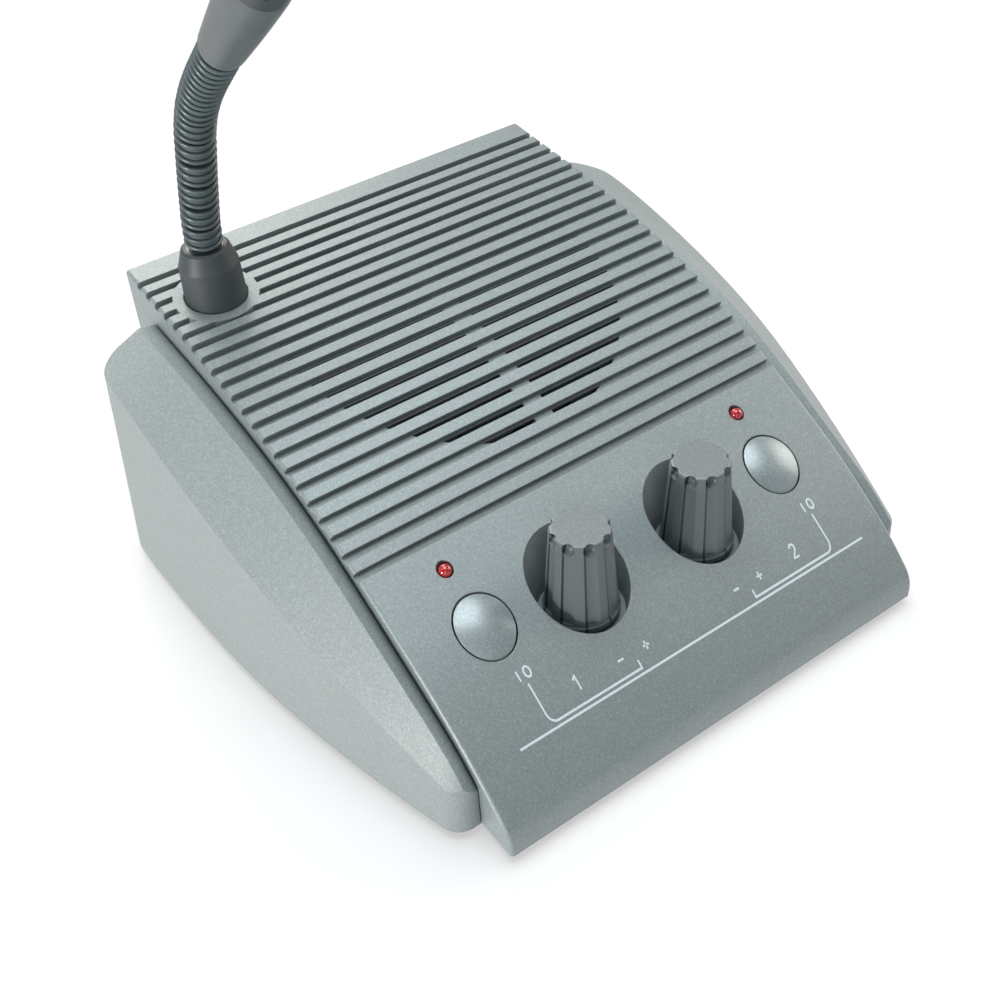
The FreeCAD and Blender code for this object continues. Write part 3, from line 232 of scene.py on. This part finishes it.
# %% the world and the lamps
MIDDLE = Vector((0, 0, 0.04))
AMBIENT = 0.12
LAMPS = [
    # name, place, side of the square, watts, tint
    ("low_left_softbox", (-0.95, -0.12, 0.06), 0.30, 9.2, "#fffaf4"),
    ("high_left_softbox", (-0.70, 0.35, 0.75), 0.45, 0.9, "#f6fcff"),
    ("top_softbox", (0.05, 0.10, 1.10), 0.80, 10.0, "#f6fdff"),
    ("rear_softbox", (0.15, 0.95, 0.60), 0.60, 7.0, "#fff6ea"),
    ("front_left_fill", (-0.50, -0.90, 0.40), 0.60, 1.4, "#f4fcff"),
    ("right_fill", (0.90, -0.15, 0.45), 0.60, 4.7, "#fff4e8"),
]


def soft_world(ambient):
    """White behind everything, and a dim even light from all round."""
    world = bpy.data.worlds.new("studio")
    bpy.context.scene.world = world
    world.use_nodes = True
    tree = world.node_tree
    tree.nodes.clear()
    path = add(tree, "ShaderNodeLightPath")
    seen = add(tree, "ShaderNodeMath", {"operation": "MAXIMUM"},
               i_0=path.outputs["Is Camera Ray"], i_1=path.outputs["Is Transmission Ray"])
    white = add(tree, "ShaderNodeBackground", Color=(1, 1, 1, 1), Strength=1.0)
    dim = add(tree, "ShaderNodeBackground", Color=linear("#f2f6ff"), Strength=ambient)
    mixed = add(tree, "ShaderNodeMixShader", Fac=seen.outputs[0], i_1=dim.outputs[0], i_2=white.outputs[0])
    add(tree, "ShaderNodeOutputWorld", Surface=mixed.outputs[0])


def soft_lamp(name, place, size, watts, tint):
    """A square area lamp that faces the middle of the case."""
    lamp = bpy.data.lights.new(name, "AREA")
    lamp.shape = "SQUARE"
    lamp.size = size
    lamp.energy = watts
    lamp.color = linear(tint)[:3]
    holder = bpy.data.objects.new(name, lamp)
    holder.location = Vector(place)
    holder.rotation_euler = (MIDDLE - holder.location).to_track_quat("-Z", "Y").to_euler()
    bpy.context.scene.collection.objects.link(holder)


soft_world(AMBIENT)
for lamp_row in LAMPS:
    soft_lamp(*lamp_row)
bpy.context.scene.view_settings.view_transform = "Standard"

# %% [markdown]
# ## The case: ABS, sprayed
# The case is injection-moulded ABS. Moulded bare, it would look like plain
# grey plastic; the grey-green shimmer comes from a sprayed lacquer with fine
# metal flakes. Each flake catches the light on its own, so the base colour is
# broken up by small cells that are a little lighter or darker. Real flakes
# are near 0.05 mm, too fine to see here, so they are drawn at a quarter of a
# millimetre. The tool that moulds the case has no knife-sharp corners, so a
# Bevel node rounds the shading of every edge by a quarter of a millimetre,
# and each rib gets the thin highlight that a real radius gives. In narrow
# grooves an ambient occlusion node darkens the colour, as painted shade.

# %% rounded edges and painted shade in recesses
BUMP_DEPTH = 0.05 * MM
MULTIPLY = {"data_type": "RGBA", "blend_type": "MULTIPLY"}


def rounded_normal(tree, height, strength, edge_mm):
    """A grain on top of shading that rounds every edge by edge_mm."""
    edge = add(tree, "ShaderNodeBevel", {"samples": 4}, Radius=edge_mm * MM)
    return add(tree, "ShaderNodeBump", Height=height, Strength=strength, Distance=BUMP_DEPTH,
               Normal=edge.outputs["Normal"]).outputs["Normal"]


def painted_recess_shade(tree, colour, reach_mm, darkest):
    """The colour with painted shade: dimmed by ambient occlusion in grooves and corners narrower than
    reach_mm.
    """
    # ambient occlusion darkens the colour where shade falls: painted shade
    open_sky = add(tree, "ShaderNodeAmbientOcclusion", {"samples": 8}, Distance=reach_mm * MM)
    shade = add(tree, "ShaderNodeValToRGB", {"stops": [(0.25, grey(darkest)), (0.8, grey(1.0))]},
                Fac=open_sky.outputs["AO"])
    return add(tree, "ShaderNodeMix", MULTIPLY,
               i_0=1.0, i_6=colour, i_7=shade.outputs["Color"]).outputs[2]


print("grain stands", BUMP_DEPTH / MM, "mm high")

# %% sprayed plastic
FLAKE_MM = 0.25
GRAIN_MM = 0.4
EDGE_MM = 0.25
LACQUER_GRAIN = 0.10
GROOVE_SHADE_REACH_MM = 2.5


def sprayed_abs(name, body, roughness, metallic, groove_shade=0.45):
    """Moulded ABS under a satin lacquer with metal flakes, with painted shade in its grooves."""
    made, tree, shader = blank_material(name)
    place = add(tree, "ShaderNodeTexCoord").outputs["Object"]
    cells = add(tree, "ShaderNodeTexVoronoi", Vector=place, Scale=per_metre(FLAKE_MM))
    flakes = add(tree, "ShaderNodeValToRGB",
                 {"stops": [(0.1, grey(0.88)), (0.6, grey(1.0)), (0.95, grey(1.25))]},
                 Fac=cells.outputs["Color"])
    colour = add(tree, "ShaderNodeMix", MULTIPLY,
                 i_0=1.0, i_6=linear(body), i_7=flakes.outputs["Color"])
    # painted shade: the colour is darkened in narrow grooves, down to groove_shade
    painted = painted_recess_shade(tree, colour.outputs[2], GROOVE_SHADE_REACH_MM, groove_shade)
    tree.links.new(painted, shader.inputs["Base Color"])
    shader.inputs["Metallic"].default_value = metallic
    shader.inputs["Roughness"].default_value = roughness
    dust = add(tree, "ShaderNodeTexNoise", Vector=place, Scale=per_metre(GRAIN_MM), Detail=3.0)
    rounded = rounded_normal(tree, dust.outputs["Fac"], LACQUER_GRAIN, EDGE_MM)
    tree.links.new(rounded, shader.inputs["Normal"])
    return made


# the cheeks take a flatter coat than the deck, the buttons a glossier one;
# the buttons' paler colour is painted light, for the brighter light they catch
case_lacquer = sprayed_abs("sprayed_abs_graphite", "#8e989a", 0.46, 0.32, 0.6)
cheek_lacquer = sprayed_abs("sprayed_abs_cheek", "#90999a", 0.52, 0.10)
button_lacquer_painted_light = sprayed_abs("sprayed_abs_button_painted_light", "#9aa5a8", 0.34, 0.30)
print("lacquers:", case_lacquer.name, cheek_lacquer.name, button_lacquer_painted_light.name)

# %% [markdown]
# ## Bare plastics, rubber and metals
# Every other surface is plainer: a colour with slow clouds, a roughness that
# wanders a little, and a grain. One function serves them all; only the
# values change, and a comment above each group says what the real thing
# gives the eye.

# %% a plain finish
CLOUD_MM, CLOUD_SHADE = 6.0, 0.9
WANDER_MM, WANDER = 2.5, 0.04
PLAIN_BUMP_DEPTH = 0.1 * MM
RECESS_SHADE_DARKEST = 0.2


def plain_finish(name, code, roughness, metallic=0.0, grain_mm=GRAIN_MM, grain=0.05, coat=0.0, recess_shade=None):
    """A single-colour finish with slow clouds, wandering gloss, a fine grain and, where recess_shade is
    given, painted shade in its recesses.
    """
    made, tree, shader = blank_material(name)
    place = add(tree, "ShaderNodeTexCoord").outputs["Object"]
    colour = linear(code)
    dark = tuple(c * CLOUD_SHADE for c in colour[:3]) + (1.0,)
    clouds = add(tree, "ShaderNodeTexNoise", Vector=place, Scale=per_metre(CLOUD_MM), Detail=3.0)
    tone = add(tree, "ShaderNodeValToRGB", {"stops": [(0.35, dark), (0.65, colour)]},
               Fac=clouds.outputs["Fac"])
    base = tone.outputs["Color"]
    # painted shade in recesses narrower than recess_shade millimetres
    if recess_shade:
        base = painted_recess_shade(tree, base, recess_shade, RECESS_SHADE_DARKEST)
    tree.links.new(base, shader.inputs["Base Color"])
    shader.inputs["Metallic"].default_value = metallic
    shader.inputs["Coat Weight"].default_value = coat
    wander = add(tree, "ShaderNodeTexNoise", Vector=place, Scale=per_metre(WANDER_MM))
    rough = add(tree, "ShaderNodeMapRange", Value=wander.outputs["Fac"],
                To_Min=roughness - WANDER, To_Max=roughness + WANDER)
    tree.links.new(rough.outputs[0], shader.inputs["Roughness"])
    dust = add(tree, "ShaderNodeTexNoise", Vector=place, Scale=per_metre(grain_mm), Detail=3.0)
    bump = add(tree, "ShaderNodeBump", Height=dust.outputs["Fac"], Strength=grain,
               Distance=PLAIN_BUMP_DEPTH)
    tree.links.new(bump.outputs[0], shader.inputs["Normal"])
    return made


print("clouds are", CLOUD_MM, "mm across, the gloss wanders over", WANDER_MM, "mm")

# %% the table of finishes
FINISHES = {
    "case_plastic": case_lacquer,
    "cheek_plastic": cheek_lacquer,
    "button_plastic": button_lacquer_painted_light,
    # a spark-eroded mould leaves black plastic matt and slightly rough
    "base_plastic": plain_finish("moulded_abs_black", "#2a2d2f", 0.55, grain=0.2),
    "socket_plastic": plain_finish("moulded_nylon_black", "#1c1d1f", 0.35),
    "switch_plastic": plain_finish("moulded_switch_black", "#26282a", 0.45),
    # rubber scatters light evenly, so its edges hardly shine
    "foot_rubber": plain_finish("moulded_rubber_black", "#1d1e1f", 0.75, grain=0.2),
    "boot_rubber": plain_finish("moulded_rubber_boot", "#3d4548", 0.50, grain=0.15),
    # zinc, tin and bare aluminium are clean mirrors, blurred by their making
    "screw_steel": plain_finish("zinc_plated_steel", "#b9bcc0", 0.30, 1.0, grain=0.02),
    "pot_steel": plain_finish("stamped_steel", "#a9acb0", 0.35, 1.0, grain=0.03),
    "lead_tin": plain_finish("tinned_wire", "#c8c8c4", 0.30, 1.0, grain=0.02),
    "can_aluminium": plain_finish("drawn_aluminium", "#cfd1d4", 0.30, 1.0, grain=0.02),
    "shaft_aluminium": plain_finish("turned_aluminium", "#c9ccd0", 0.28, 1.0, grain=0.02),
    "capsule_aluminium": plain_finish("pressed_aluminium", "#b9bbbe", 0.35, 1.0, grain=0.02),
    # the board's resin is glossy over its green glass cloth
    "board_laminate": plain_finish("glass_laminate_green", "#1f6b3f", 0.40, coat=0.4),
    # cast epoxy dries matt black, and acetal is a waxy white
    "chip_epoxy": plain_finish("cast_epoxy_black", "#202122", 0.55),
    "plunger_plastic": plain_finish("moulded_acetal_white", "#dcdcd6", 0.40),
    # the speaker is seen only through its slots: black steel, paper and cloth
    "basket_steel": plain_finish("black_stamped_steel", "#26282a", 0.45, grain=0.1),
    "cone_paper": plain_finish("pressed_paper_black", "#222324", 0.85, grain_mm=1.0, grain=0.5),
    "magnet_ferrite": plain_finish("sintered_ferrite", "#3b3c3e", 0.60, grain_mm=0.8, grain=0.3),
    "grille_cloth": plain_finish("woven_grille_cloth", "#141b1e", 0.90, grain_mm=0.6, grain=0.6),
    # a steel strip wound into a tube: satin lacquer on its turns, with painted shade between them
    "neck_metal": plain_finish("lacquered_steel_strip", "#5c686b", 0.36, 0.35, grain=0.02, recess_shade=1.2),
    # the head is satin ABS, which blurs a lamp to a soft band along its side
    "mic_plastic": plain_finish("moulded_abs_satin", "#555c5f", 0.42, grain=0.08),
    # the grille has the neck's lacquer, with painted shade in its slots
    "grille_metal": plain_finish("lacquered_grille_steel", "#474e51", 0.38, 0.35, recess_shade=1.0),
}
print("finishes:", len(FINISHES))

# %% [markdown]
# ## The knobs: fluted ABS with a grained top
# A volume knob is moulded in one piece. Its side is a ring of nearly flat
# facets that meet in thin seams; the colour is darkened along the seams and
# in recesses as painted shade. Its top is left grainy by the mould, so it
# scatters light and looks paler than the side. The facets repeat every 40
# degrees, so the seams' painted shade is drawn from the angle round the knob's axis.

# %% knob finish
KNOB_FLUTES = 9
SEAM_SHADE_SHARE, SEAM_SHADE_FADE = 0.035, 1.6
SEAM_SHADE_REACH_MM, SEAM_SHADE_DARKEST = 1.5, 0.4
KNOB_EDGE_MM = 0.2
TOP_GRAIN_MM, TOP_GRAIN = 0.35, 0.3
# below the rim of the top, where its grain fades in
TOP_FROM, TOP_TO = -0.25 * MM, -0.15 * MM


def knob_abs(name, axis_x, axis_y, top_z):
    """Charcoal ABS with painted shade along its seams and in its recesses, and a paler, grained top."""
    made, tree, shader = blank_material(name)
    place = add(tree, "ShaderNodeTexCoord").outputs["Object"]
    spot = add(tree, "ShaderNodeVectorMath", {"operation": "SUBTRACT"},
               i_0=place, i_1=(axis_x, axis_y, top_z))
    parts = add(tree, "ShaderNodeSeparateXYZ", i_0=spot.outputs[0])
    angle = add(tree, "ShaderNodeMath", {"operation": "ARCTAN2"},
                i_0=parts.outputs["Y"], i_1=parts.outputs["X"])
    turns = add(tree, "ShaderNodeMath", {"operation": "MULTIPLY"},
                i_0=angle.outputs[0], i_1=KNOB_FLUTES / (2 * math.pi))
    # 0 at a seam, 0.5 in the middle of a facet
    from_seam = add(tree, "ShaderNodeMath", {"operation": "PINGPONG"}, i_0=turns.outputs[0], i_1=0.5)
    # painted shade: the colour is darkened in a thin band along each seam
    side = add(tree, "ShaderNodeValToRGB",
               {"stops": [(0.0, grey(0.12)), (SEAM_SHADE_SHARE, grey(0.2)), (SEAM_SHADE_SHARE * SEAM_SHADE_FADE, grey(1.0))]},
               Fac=from_seam.outputs[0])
    charcoal_seam_shaded = add(tree, "ShaderNodeMix", MULTIPLY,
                   i_0=1.0, i_6=linear("#5f676a"), i_7=side.outputs["Color"])
    grains = add(tree, "ShaderNodeTexNoise", Vector=place, Scale=per_metre(TOP_GRAIN_MM), Detail=2.0)
    pale = add(tree, "ShaderNodeValToRGB", {"stops": [(0.3, linear("#6c7376")), (0.7, linear("#8b9295"))]},
               Fac=grains.outputs["Fac"])
    is_top = add(tree, "ShaderNodeMapRange", Value=parts.outputs["Z"], From_Min=TOP_FROM, From_Max=TOP_TO)
    colour = add(tree, "ShaderNodeMix", {"data_type": "RGBA"},
                 i_0=is_top.outputs[0], i_6=charcoal_seam_shaded.outputs[2], i_7=pale.outputs["Color"])
    # painted shade in the knob's recesses, by ambient occlusion
    shaded = painted_recess_shade(tree, colour.outputs[2], SEAM_SHADE_REACH_MM, SEAM_SHADE_DARKEST)
    tree.links.new(shaded, shader.inputs["Base Color"])
    shader.inputs["Roughness"].default_value = 0.38
    rounded = rounded_normal(tree, grains.outputs["Fac"], TOP_GRAIN, KNOB_EDGE_MM)
    tree.links.new(rounded, shader.inputs["Normal"])
    return made


KNOB_FINISHES = {}
for knob in ("knob_left", "knob_right"):
    low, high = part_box(knob)
    KNOB_FINISHES[knob] = knob_abs("fluted_abs_" + knob, (low.x + high.x) / 2, (low.y + high.y) / 2, high.z)
print("knob finishes:", sorted(KNOB_FINISHES))

# %% [markdown]
# ## Red epoxy lamps
# An indicator lamp is a bead of clear red epoxy. Unlit, it shows a deep red
# with a brighter rim of light on the side away from the lamp, because light
# crosses it. A little transmission under a clear coat comes near to that, and
# costs little.

# %% lamp epoxy
STREAK_MM = 1.5
STREAK_SHADE = 0.8


def cast_epoxy(name, code):
    """Clear red epoxy, unlit."""
    made, tree, shader = blank_material(name)
    place = add(tree, "ShaderNodeTexCoord").outputs["Object"]
    streaks = add(tree, "ShaderNodeTexNoise", Vector=place, Scale=per_metre(STREAK_MM))
    deep = tuple(c * STREAK_SHADE for c in linear(code)[:3]) + (1.0,)
    tone = add(tree, "ShaderNodeValToRGB", {"stops": [(0.3, deep), (0.7, linear(code))]},
               Fac=streaks.outputs["Fac"])
    tree.links.new(tone.outputs["Color"], shader.inputs["Base Color"])
    shader.inputs["Roughness"].default_value = 0.08
    shader.inputs["IOR"].default_value = 1.54
    shader.inputs["Transmission Weight"].default_value = 0.15
    shader.inputs["Coat Weight"].default_value = 1.0
    return made


FINISHES["lamp_epoxy"] = cast_epoxy("cast_epoxy_red", "#cc3034")
print("lamp finish:", FINISHES["lamp_epoxy"].name)

# %% [markdown]
# ## Dress the solids
# Every solid already knows its material slot from the record, so dressing it
# is one lookup. Only the knobs are looked up by name, because each has its
# seams drawn about its own axis.

# %% dress every solid
SLOT_OF = {part["node"]: part["material_slot"] for part in frame["record"]["subparts"]}
for name, solid in NODES.items():
    solid.data.materials.clear()
    solid.data.materials.append(KNOB_FINISHES.get(name) or FINISHES[SLOT_OF[name]])
print("dressed:", len(NODES))

# %% [markdown]
# ## Two forms that are eased over their solids
# The rear of each real cheek lies a little lower and reaches a little
# further back than its solid, and the microphone head is slimmer. Each of
# these pieces starts as a copy of its solid, so that it has the same seats
# and holes, and its points are then moved by a smooth rule. The neck's ball
# seat keeps its size. The bore for the capsule narrows with the head, so
# that inside, out of sight, the capsule stands a third of a millimetre into
# the shell's wall. The copy stands for the solid, which stays behind for
# collision.

# %% how far the forms are eased
CHEEK_EASE_FROM, CHEEK_EASE_TO = -20.0 * MM, 56.0 * MM
CREST_DROP, EDGE_DROP = 2.9 * MM, 7.0 * MM
CHEEK_PUSH, CHEEK_DRAW_IN = 5.0 * MM, 1.2 * MM
NECK_CORE, HEAD_SLIMNESS = 3.9 * MM, 0.57
HEAD_LEAN = math.radians(50.0)
head_joint = next(row for row in frame["record"]["behaviour"]["joints"] if row["name"] == "neck_bend_11")
HEAD_FOOT = Vector(head_joint["pos_m"])
print("foot of the head in mm:", [round(v / MM, 1) for v in HEAD_FOOT])

# %% the copy and its two rules


def smooth(share):
    """0 to 1 with level ends."""
    share = min(max(share, 0.0), 1.0)
    return share * share * (3 - 2 * share)


def eased_copy(node, name, rule, body):
    """A copy of a solid with each point moved by rule, standing for the solid."""
    mesh = NODES[node].data.copy()
    for vertex in mesh.vertices:
        vertex.co = rule(vertex.co.copy())
    mesh.update()
    piece = bpy.data.objects.new(name, mesh)
    bpy.context.scene.collection.objects.link(piece)
    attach(piece, body)
    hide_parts(node)
    return piece


def cheek_rule(node):
    """Longer and lower towards the rear, and lowest at the outer edge."""
    low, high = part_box(node)
    inner, outer = sorted((abs(low.x), abs(high.x)))

    def rule(at):
        ease = smooth((at.y - CHEEK_EASE_FROM) / (CHEEK_EASE_TO - CHEEK_EASE_FROM))
        outward = (abs(at.x) - inner) / (outer - inner)
        at.z -= ease * (CREST_DROP + (EDGE_DROP - CREST_DROP) * outward) * at.z / high.z
        at.y += ease * CHEEK_PUSH
        at.x -= math.copysign(ease * outward * CHEEK_DRAW_IN, at.x)
        return at
    return rule


def head_rule(at):
    """Slimmer about the head's own axis, the ball seat left as it is."""
    along = Vector((0, -math.sin(HEAD_LEAN), math.cos(HEAD_LEAN)))
    foot = HEAD_FOOT + along * (at - HEAD_FOOT).dot(along)
    arm = at - foot
    if arm.length > NECK_CORE:
        arm = arm.normalized() * (NECK_CORE + (arm.length - NECK_CORE) * HEAD_SLIMNESS)
    return foot + arm


print("half way along, the ease is", smooth(0.5))

# %% ease the four pieces
eased = [eased_copy("cheek_left", "cheek_shell_left", cheek_rule("cheek_left"), "case"),
         eased_copy("cheek_right", "cheek_shell_right", cheek_rule("cheek_right"), "case"),
         eased_copy("mic_body", "mic_shell", head_rule, "mic_head"),
         eased_copy("mic_grille", "mic_basket", head_rule, "mic_head")]
print("eased over their solids:", [piece.name for piece in eased])

# %% [markdown]
# ## The screen print
# A screen print lays thin white ink on the finished panel: a long rule, a
# bracket from each button to its knob, a minus and a plus below each knob, a
# switch mark below each button, and a number in each bracket. The ink is a
# film of its own, so each line becomes a ribbon that is dropped on the panel
# along its whole run: rays straight down find the surface under both edges
# of the ribbon, so it follows every curve.

# %% print sizes, in millimetres on the plan
PRINT_X = 1.5
LINE_MM = 0.38
INK_MM = 0.06
INK_LIFT = 0.04
STEP_MM = 0.5
RULE_HALF, RULE_Y = 48.45, -66.85
BRACKET_HALF, BRACKET_TOP, BRACKET_Y, BRACKET_ROUND = 40.0, -58.5, -65.95, 1.8
TICK_HALF, TICK_TOP = 16.25, -64.5
VOLUME_Y, VOLUME_SPREAD, VOLUME_REACH = -63.05, 3.4, 0.75
SWITCH_Y, SWITCH_SPREAD, SWITCH_HALF, RING_WIDTH_SHARE = -56.7, 1.1, 0.95, 0.75
NUMBER_X, NUMBER_Y, NUMBER_HALF = 30.6, -62.5, 1.25
print("the rule is", 2 * RULE_HALF, "mm long")

# %% the lines of the print


def arc_points(x, y, radius_x, radius_y, start, end, count=10):
    """Points along an arc, with the angles in degrees."""
    turn = [math.radians(start + (end - start) * i / count) for i in range(count + 1)]
    return [(x + radius_x * math.cos(a), y + radius_y * math.sin(a)) for a in turn]


def bracket(side):
    """From under the button down, round the corner, along and up the tick."""
    corner = arc_points(BRACKET_HALF - BRACKET_ROUND, BRACKET_Y + BRACKET_ROUND,
                        BRACKET_ROUND, BRACKET_ROUND, 0, -90)
    run = [(BRACKET_HALF, BRACKET_TOP)] + corner + [(TICK_HALF, BRACKET_Y), (TICK_HALF, TICK_TOP)]
    return [(PRINT_X + side * x, y) for x, y in run]


def volume_marks(side):
    """A minus left of the tick and a plus right of it."""
    middle = PRINT_X + side * TICK_HALF
    minus, plus, reach = middle - VOLUME_SPREAD, middle + VOLUME_SPREAD, VOLUME_REACH
    return [[(minus - reach, VOLUME_Y), (minus + reach, VOLUME_Y)],
            [(plus - reach, VOLUME_Y), (plus + reach, VOLUME_Y)],
            [(plus, VOLUME_Y - reach), (plus, VOLUME_Y + reach)]]


def switch_marks(side):
    """The line and the ring of a switch."""
    middle = PRINT_X + side * BRACKET_HALF
    line_x, ring_x = middle - SWITCH_SPREAD, middle + SWITCH_SPREAD
    line = [(line_x, SWITCH_Y - SWITCH_HALF), (line_x, SWITCH_Y + SWITCH_HALF)]
    ring = arc_points(ring_x, SWITCH_Y, SWITCH_HALF * RING_WIDTH_SHARE, SWITCH_HALF, 0, 360, 24)
    return [line, ring]


def number_one():
    """A flag and a stem, h being half the number's height."""
    x, y, h = PRINT_X - NUMBER_X, NUMBER_Y, NUMBER_HALF
    return [[(x - 0.55 * h, y + 0.55 * h), (x + 0.05 * h, y + h), (x + 0.05 * h, y - h)]]


def number_two():
    """A bow, a slant to the foot and the foot."""
    x, y, h = PRINT_X + NUMBER_X, NUMBER_Y, NUMBER_HALF
    bow = arc_points(x, y + 0.45 * h, 0.55 * h, 0.55 * h, 170, -35)
    return [bow + [(x - 0.6 * h, y - h), (x + 0.6 * h, y - h)]]


strokes = {"print_rule": [[(PRINT_X - RULE_HALF, RULE_Y), (PRINT_X + RULE_HALF, RULE_Y)]]}
for side, hand in ((-1, "left"), (1, "right")):
    strokes["print_bracket_" + hand] = [bracket(side)]
    strokes["print_volume_" + hand] = volume_marks(side)
    strokes["print_switch_" + hand] = switch_marks(side)
strokes["print_number_left"] = number_one()
strokes["print_number_right"] = number_two()
print("print pieces:", sorted(strokes))

# %% from lines to ribbons on the panel
# the rays start 0.2 m up, clear of the deck
RAY_FROM = 0.2
SHARPEST_MITRE = 0.6


def surface_under(solid):
    """A search tree of a solid's faces, for rays straight down."""
    mesh = solid.data
    return BVHTree.FromPolygons([v.co for v in mesh.vertices], [tuple(f.vertices) for f in mesh.polygons])


def dropped(surface, x, y, height):
    """The point at height millimetres above the surface under (x, y)."""
    hit = surface.ray_cast(Vector((x * MM, y * MM, RAY_FROM)), Vector((0, 0, -1)))[0]
    return hit + Vector((0, 0, height * MM))


def even_steps(run):
    """The run with no step longer than STEP_MM."""
    points = [run[0]]
    for start, end in zip(run, run[1:]):
        count = max(1, math.ceil(math.dist(start, end) / STEP_MM))
        points += [tuple(a + (b - a) * i / count for a, b in zip(start, end)) for i in range(1, count + 1)]
    return points


def edge_offsets(points):
    """For each point, the sideways step to the ribbon's edge, mitred at corners."""
    offsets = []
    for i, here in enumerate(points):
        before, after = Vector(points[max(i - 1, 0)]), Vector(points[min(i + 1, len(points) - 1)])
        arriving = (Vector(here) - before).normalized() if i else None
        leaving = (after - Vector(here)).normalized() if i < len(points) - 1 else None
        along = ((arriving or leaving) + (leaving or arriving)).normalized()
        stretch = 1 / max(SHARPEST_MITRE, along.dot(leaving or arriving))
        offsets.append(Vector((-along.y, along.x)) * LINE_MM / 2 * stretch)
    return offsets


def ribbon(builder, surface, run):
    """A closed film of ink along one run."""
    points = even_steps(run)
    rings = []
    for (x, y), side in zip(points, edge_offsets(points)):
        corners = [(x + side.x, y + side.y, INK_LIFT), (x - side.x, y - side.y, INK_LIFT),
                   (x - side.x, y - side.y, INK_LIFT - INK_MM), (x + side.x, y + side.y, INK_LIFT - INK_MM)]
        rings.append([builder.verts.new(dropped(surface, *corner)) for corner in corners])
    for near, far in zip(rings, rings[1:]):
        for k in range(4):
            builder.faces.new((near[k], near[(k + 1) % 4], far[(k + 1) % 4], far[k]))
    builder.faces.new(rings[0][::-1])
    builder.faces.new(rings[-1])


panel = surface_under(NODES["deck_cover"])
print("panel under the rule, mm up:", round(dropped(panel, PRINT_X, RULE_Y, 0).z / MM, 2))

# %% white ink
WEAVE_MM = 0.3


def screen_ink(name):
    """Epoxy ink pressed through a mesh: flat white, slightly glossy."""
    made, tree, shader = blank_material(name)
    place = add(tree, "ShaderNodeTexCoord").outputs["Object"]
    weave = add(tree, "ShaderNodeTexNoise", Vector=place, Scale=per_metre(WEAVE_MM), Detail=2.0)
    tone = add(tree, "ShaderNodeValToRGB", {"stops": [(0.3, linear("#cdd6dc")), (0.7, linear("#dde5ea"))]},
               Fac=weave.outputs["Fac"])
    tree.links.new(tone.outputs["Color"], shader.inputs["Base Color"])
    shader.inputs["Roughness"].default_value = 0.45
    return made


ink = screen_ink("screen_printed_white_ink")
print("ink:", ink.name)

# %% lay the films
for name, runs in strokes.items():
    builder = bmesh.new()
    for run in runs:
        ribbon(builder, panel, run)
    bmesh.ops.recalc_face_normals(builder, faces=builder.faces)
    mesh = bpy.data.meshes.new(name)
    builder.to_mesh(mesh)
    builder.free()
    mesh.materials.append(ink)
    film = bpy.data.objects.new(name, mesh)
    bpy.context.scene.collection.objects.link(film)
    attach(film, "case")
print("ink films:", len(strokes))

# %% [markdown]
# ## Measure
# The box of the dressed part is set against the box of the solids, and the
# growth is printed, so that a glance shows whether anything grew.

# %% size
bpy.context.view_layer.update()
growth = [round((b - a) / MM, 2) for cad, seen in zip(CAD_BOX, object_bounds()) for a, b in zip(cad, seen)]
print("grown by mm:", growth)
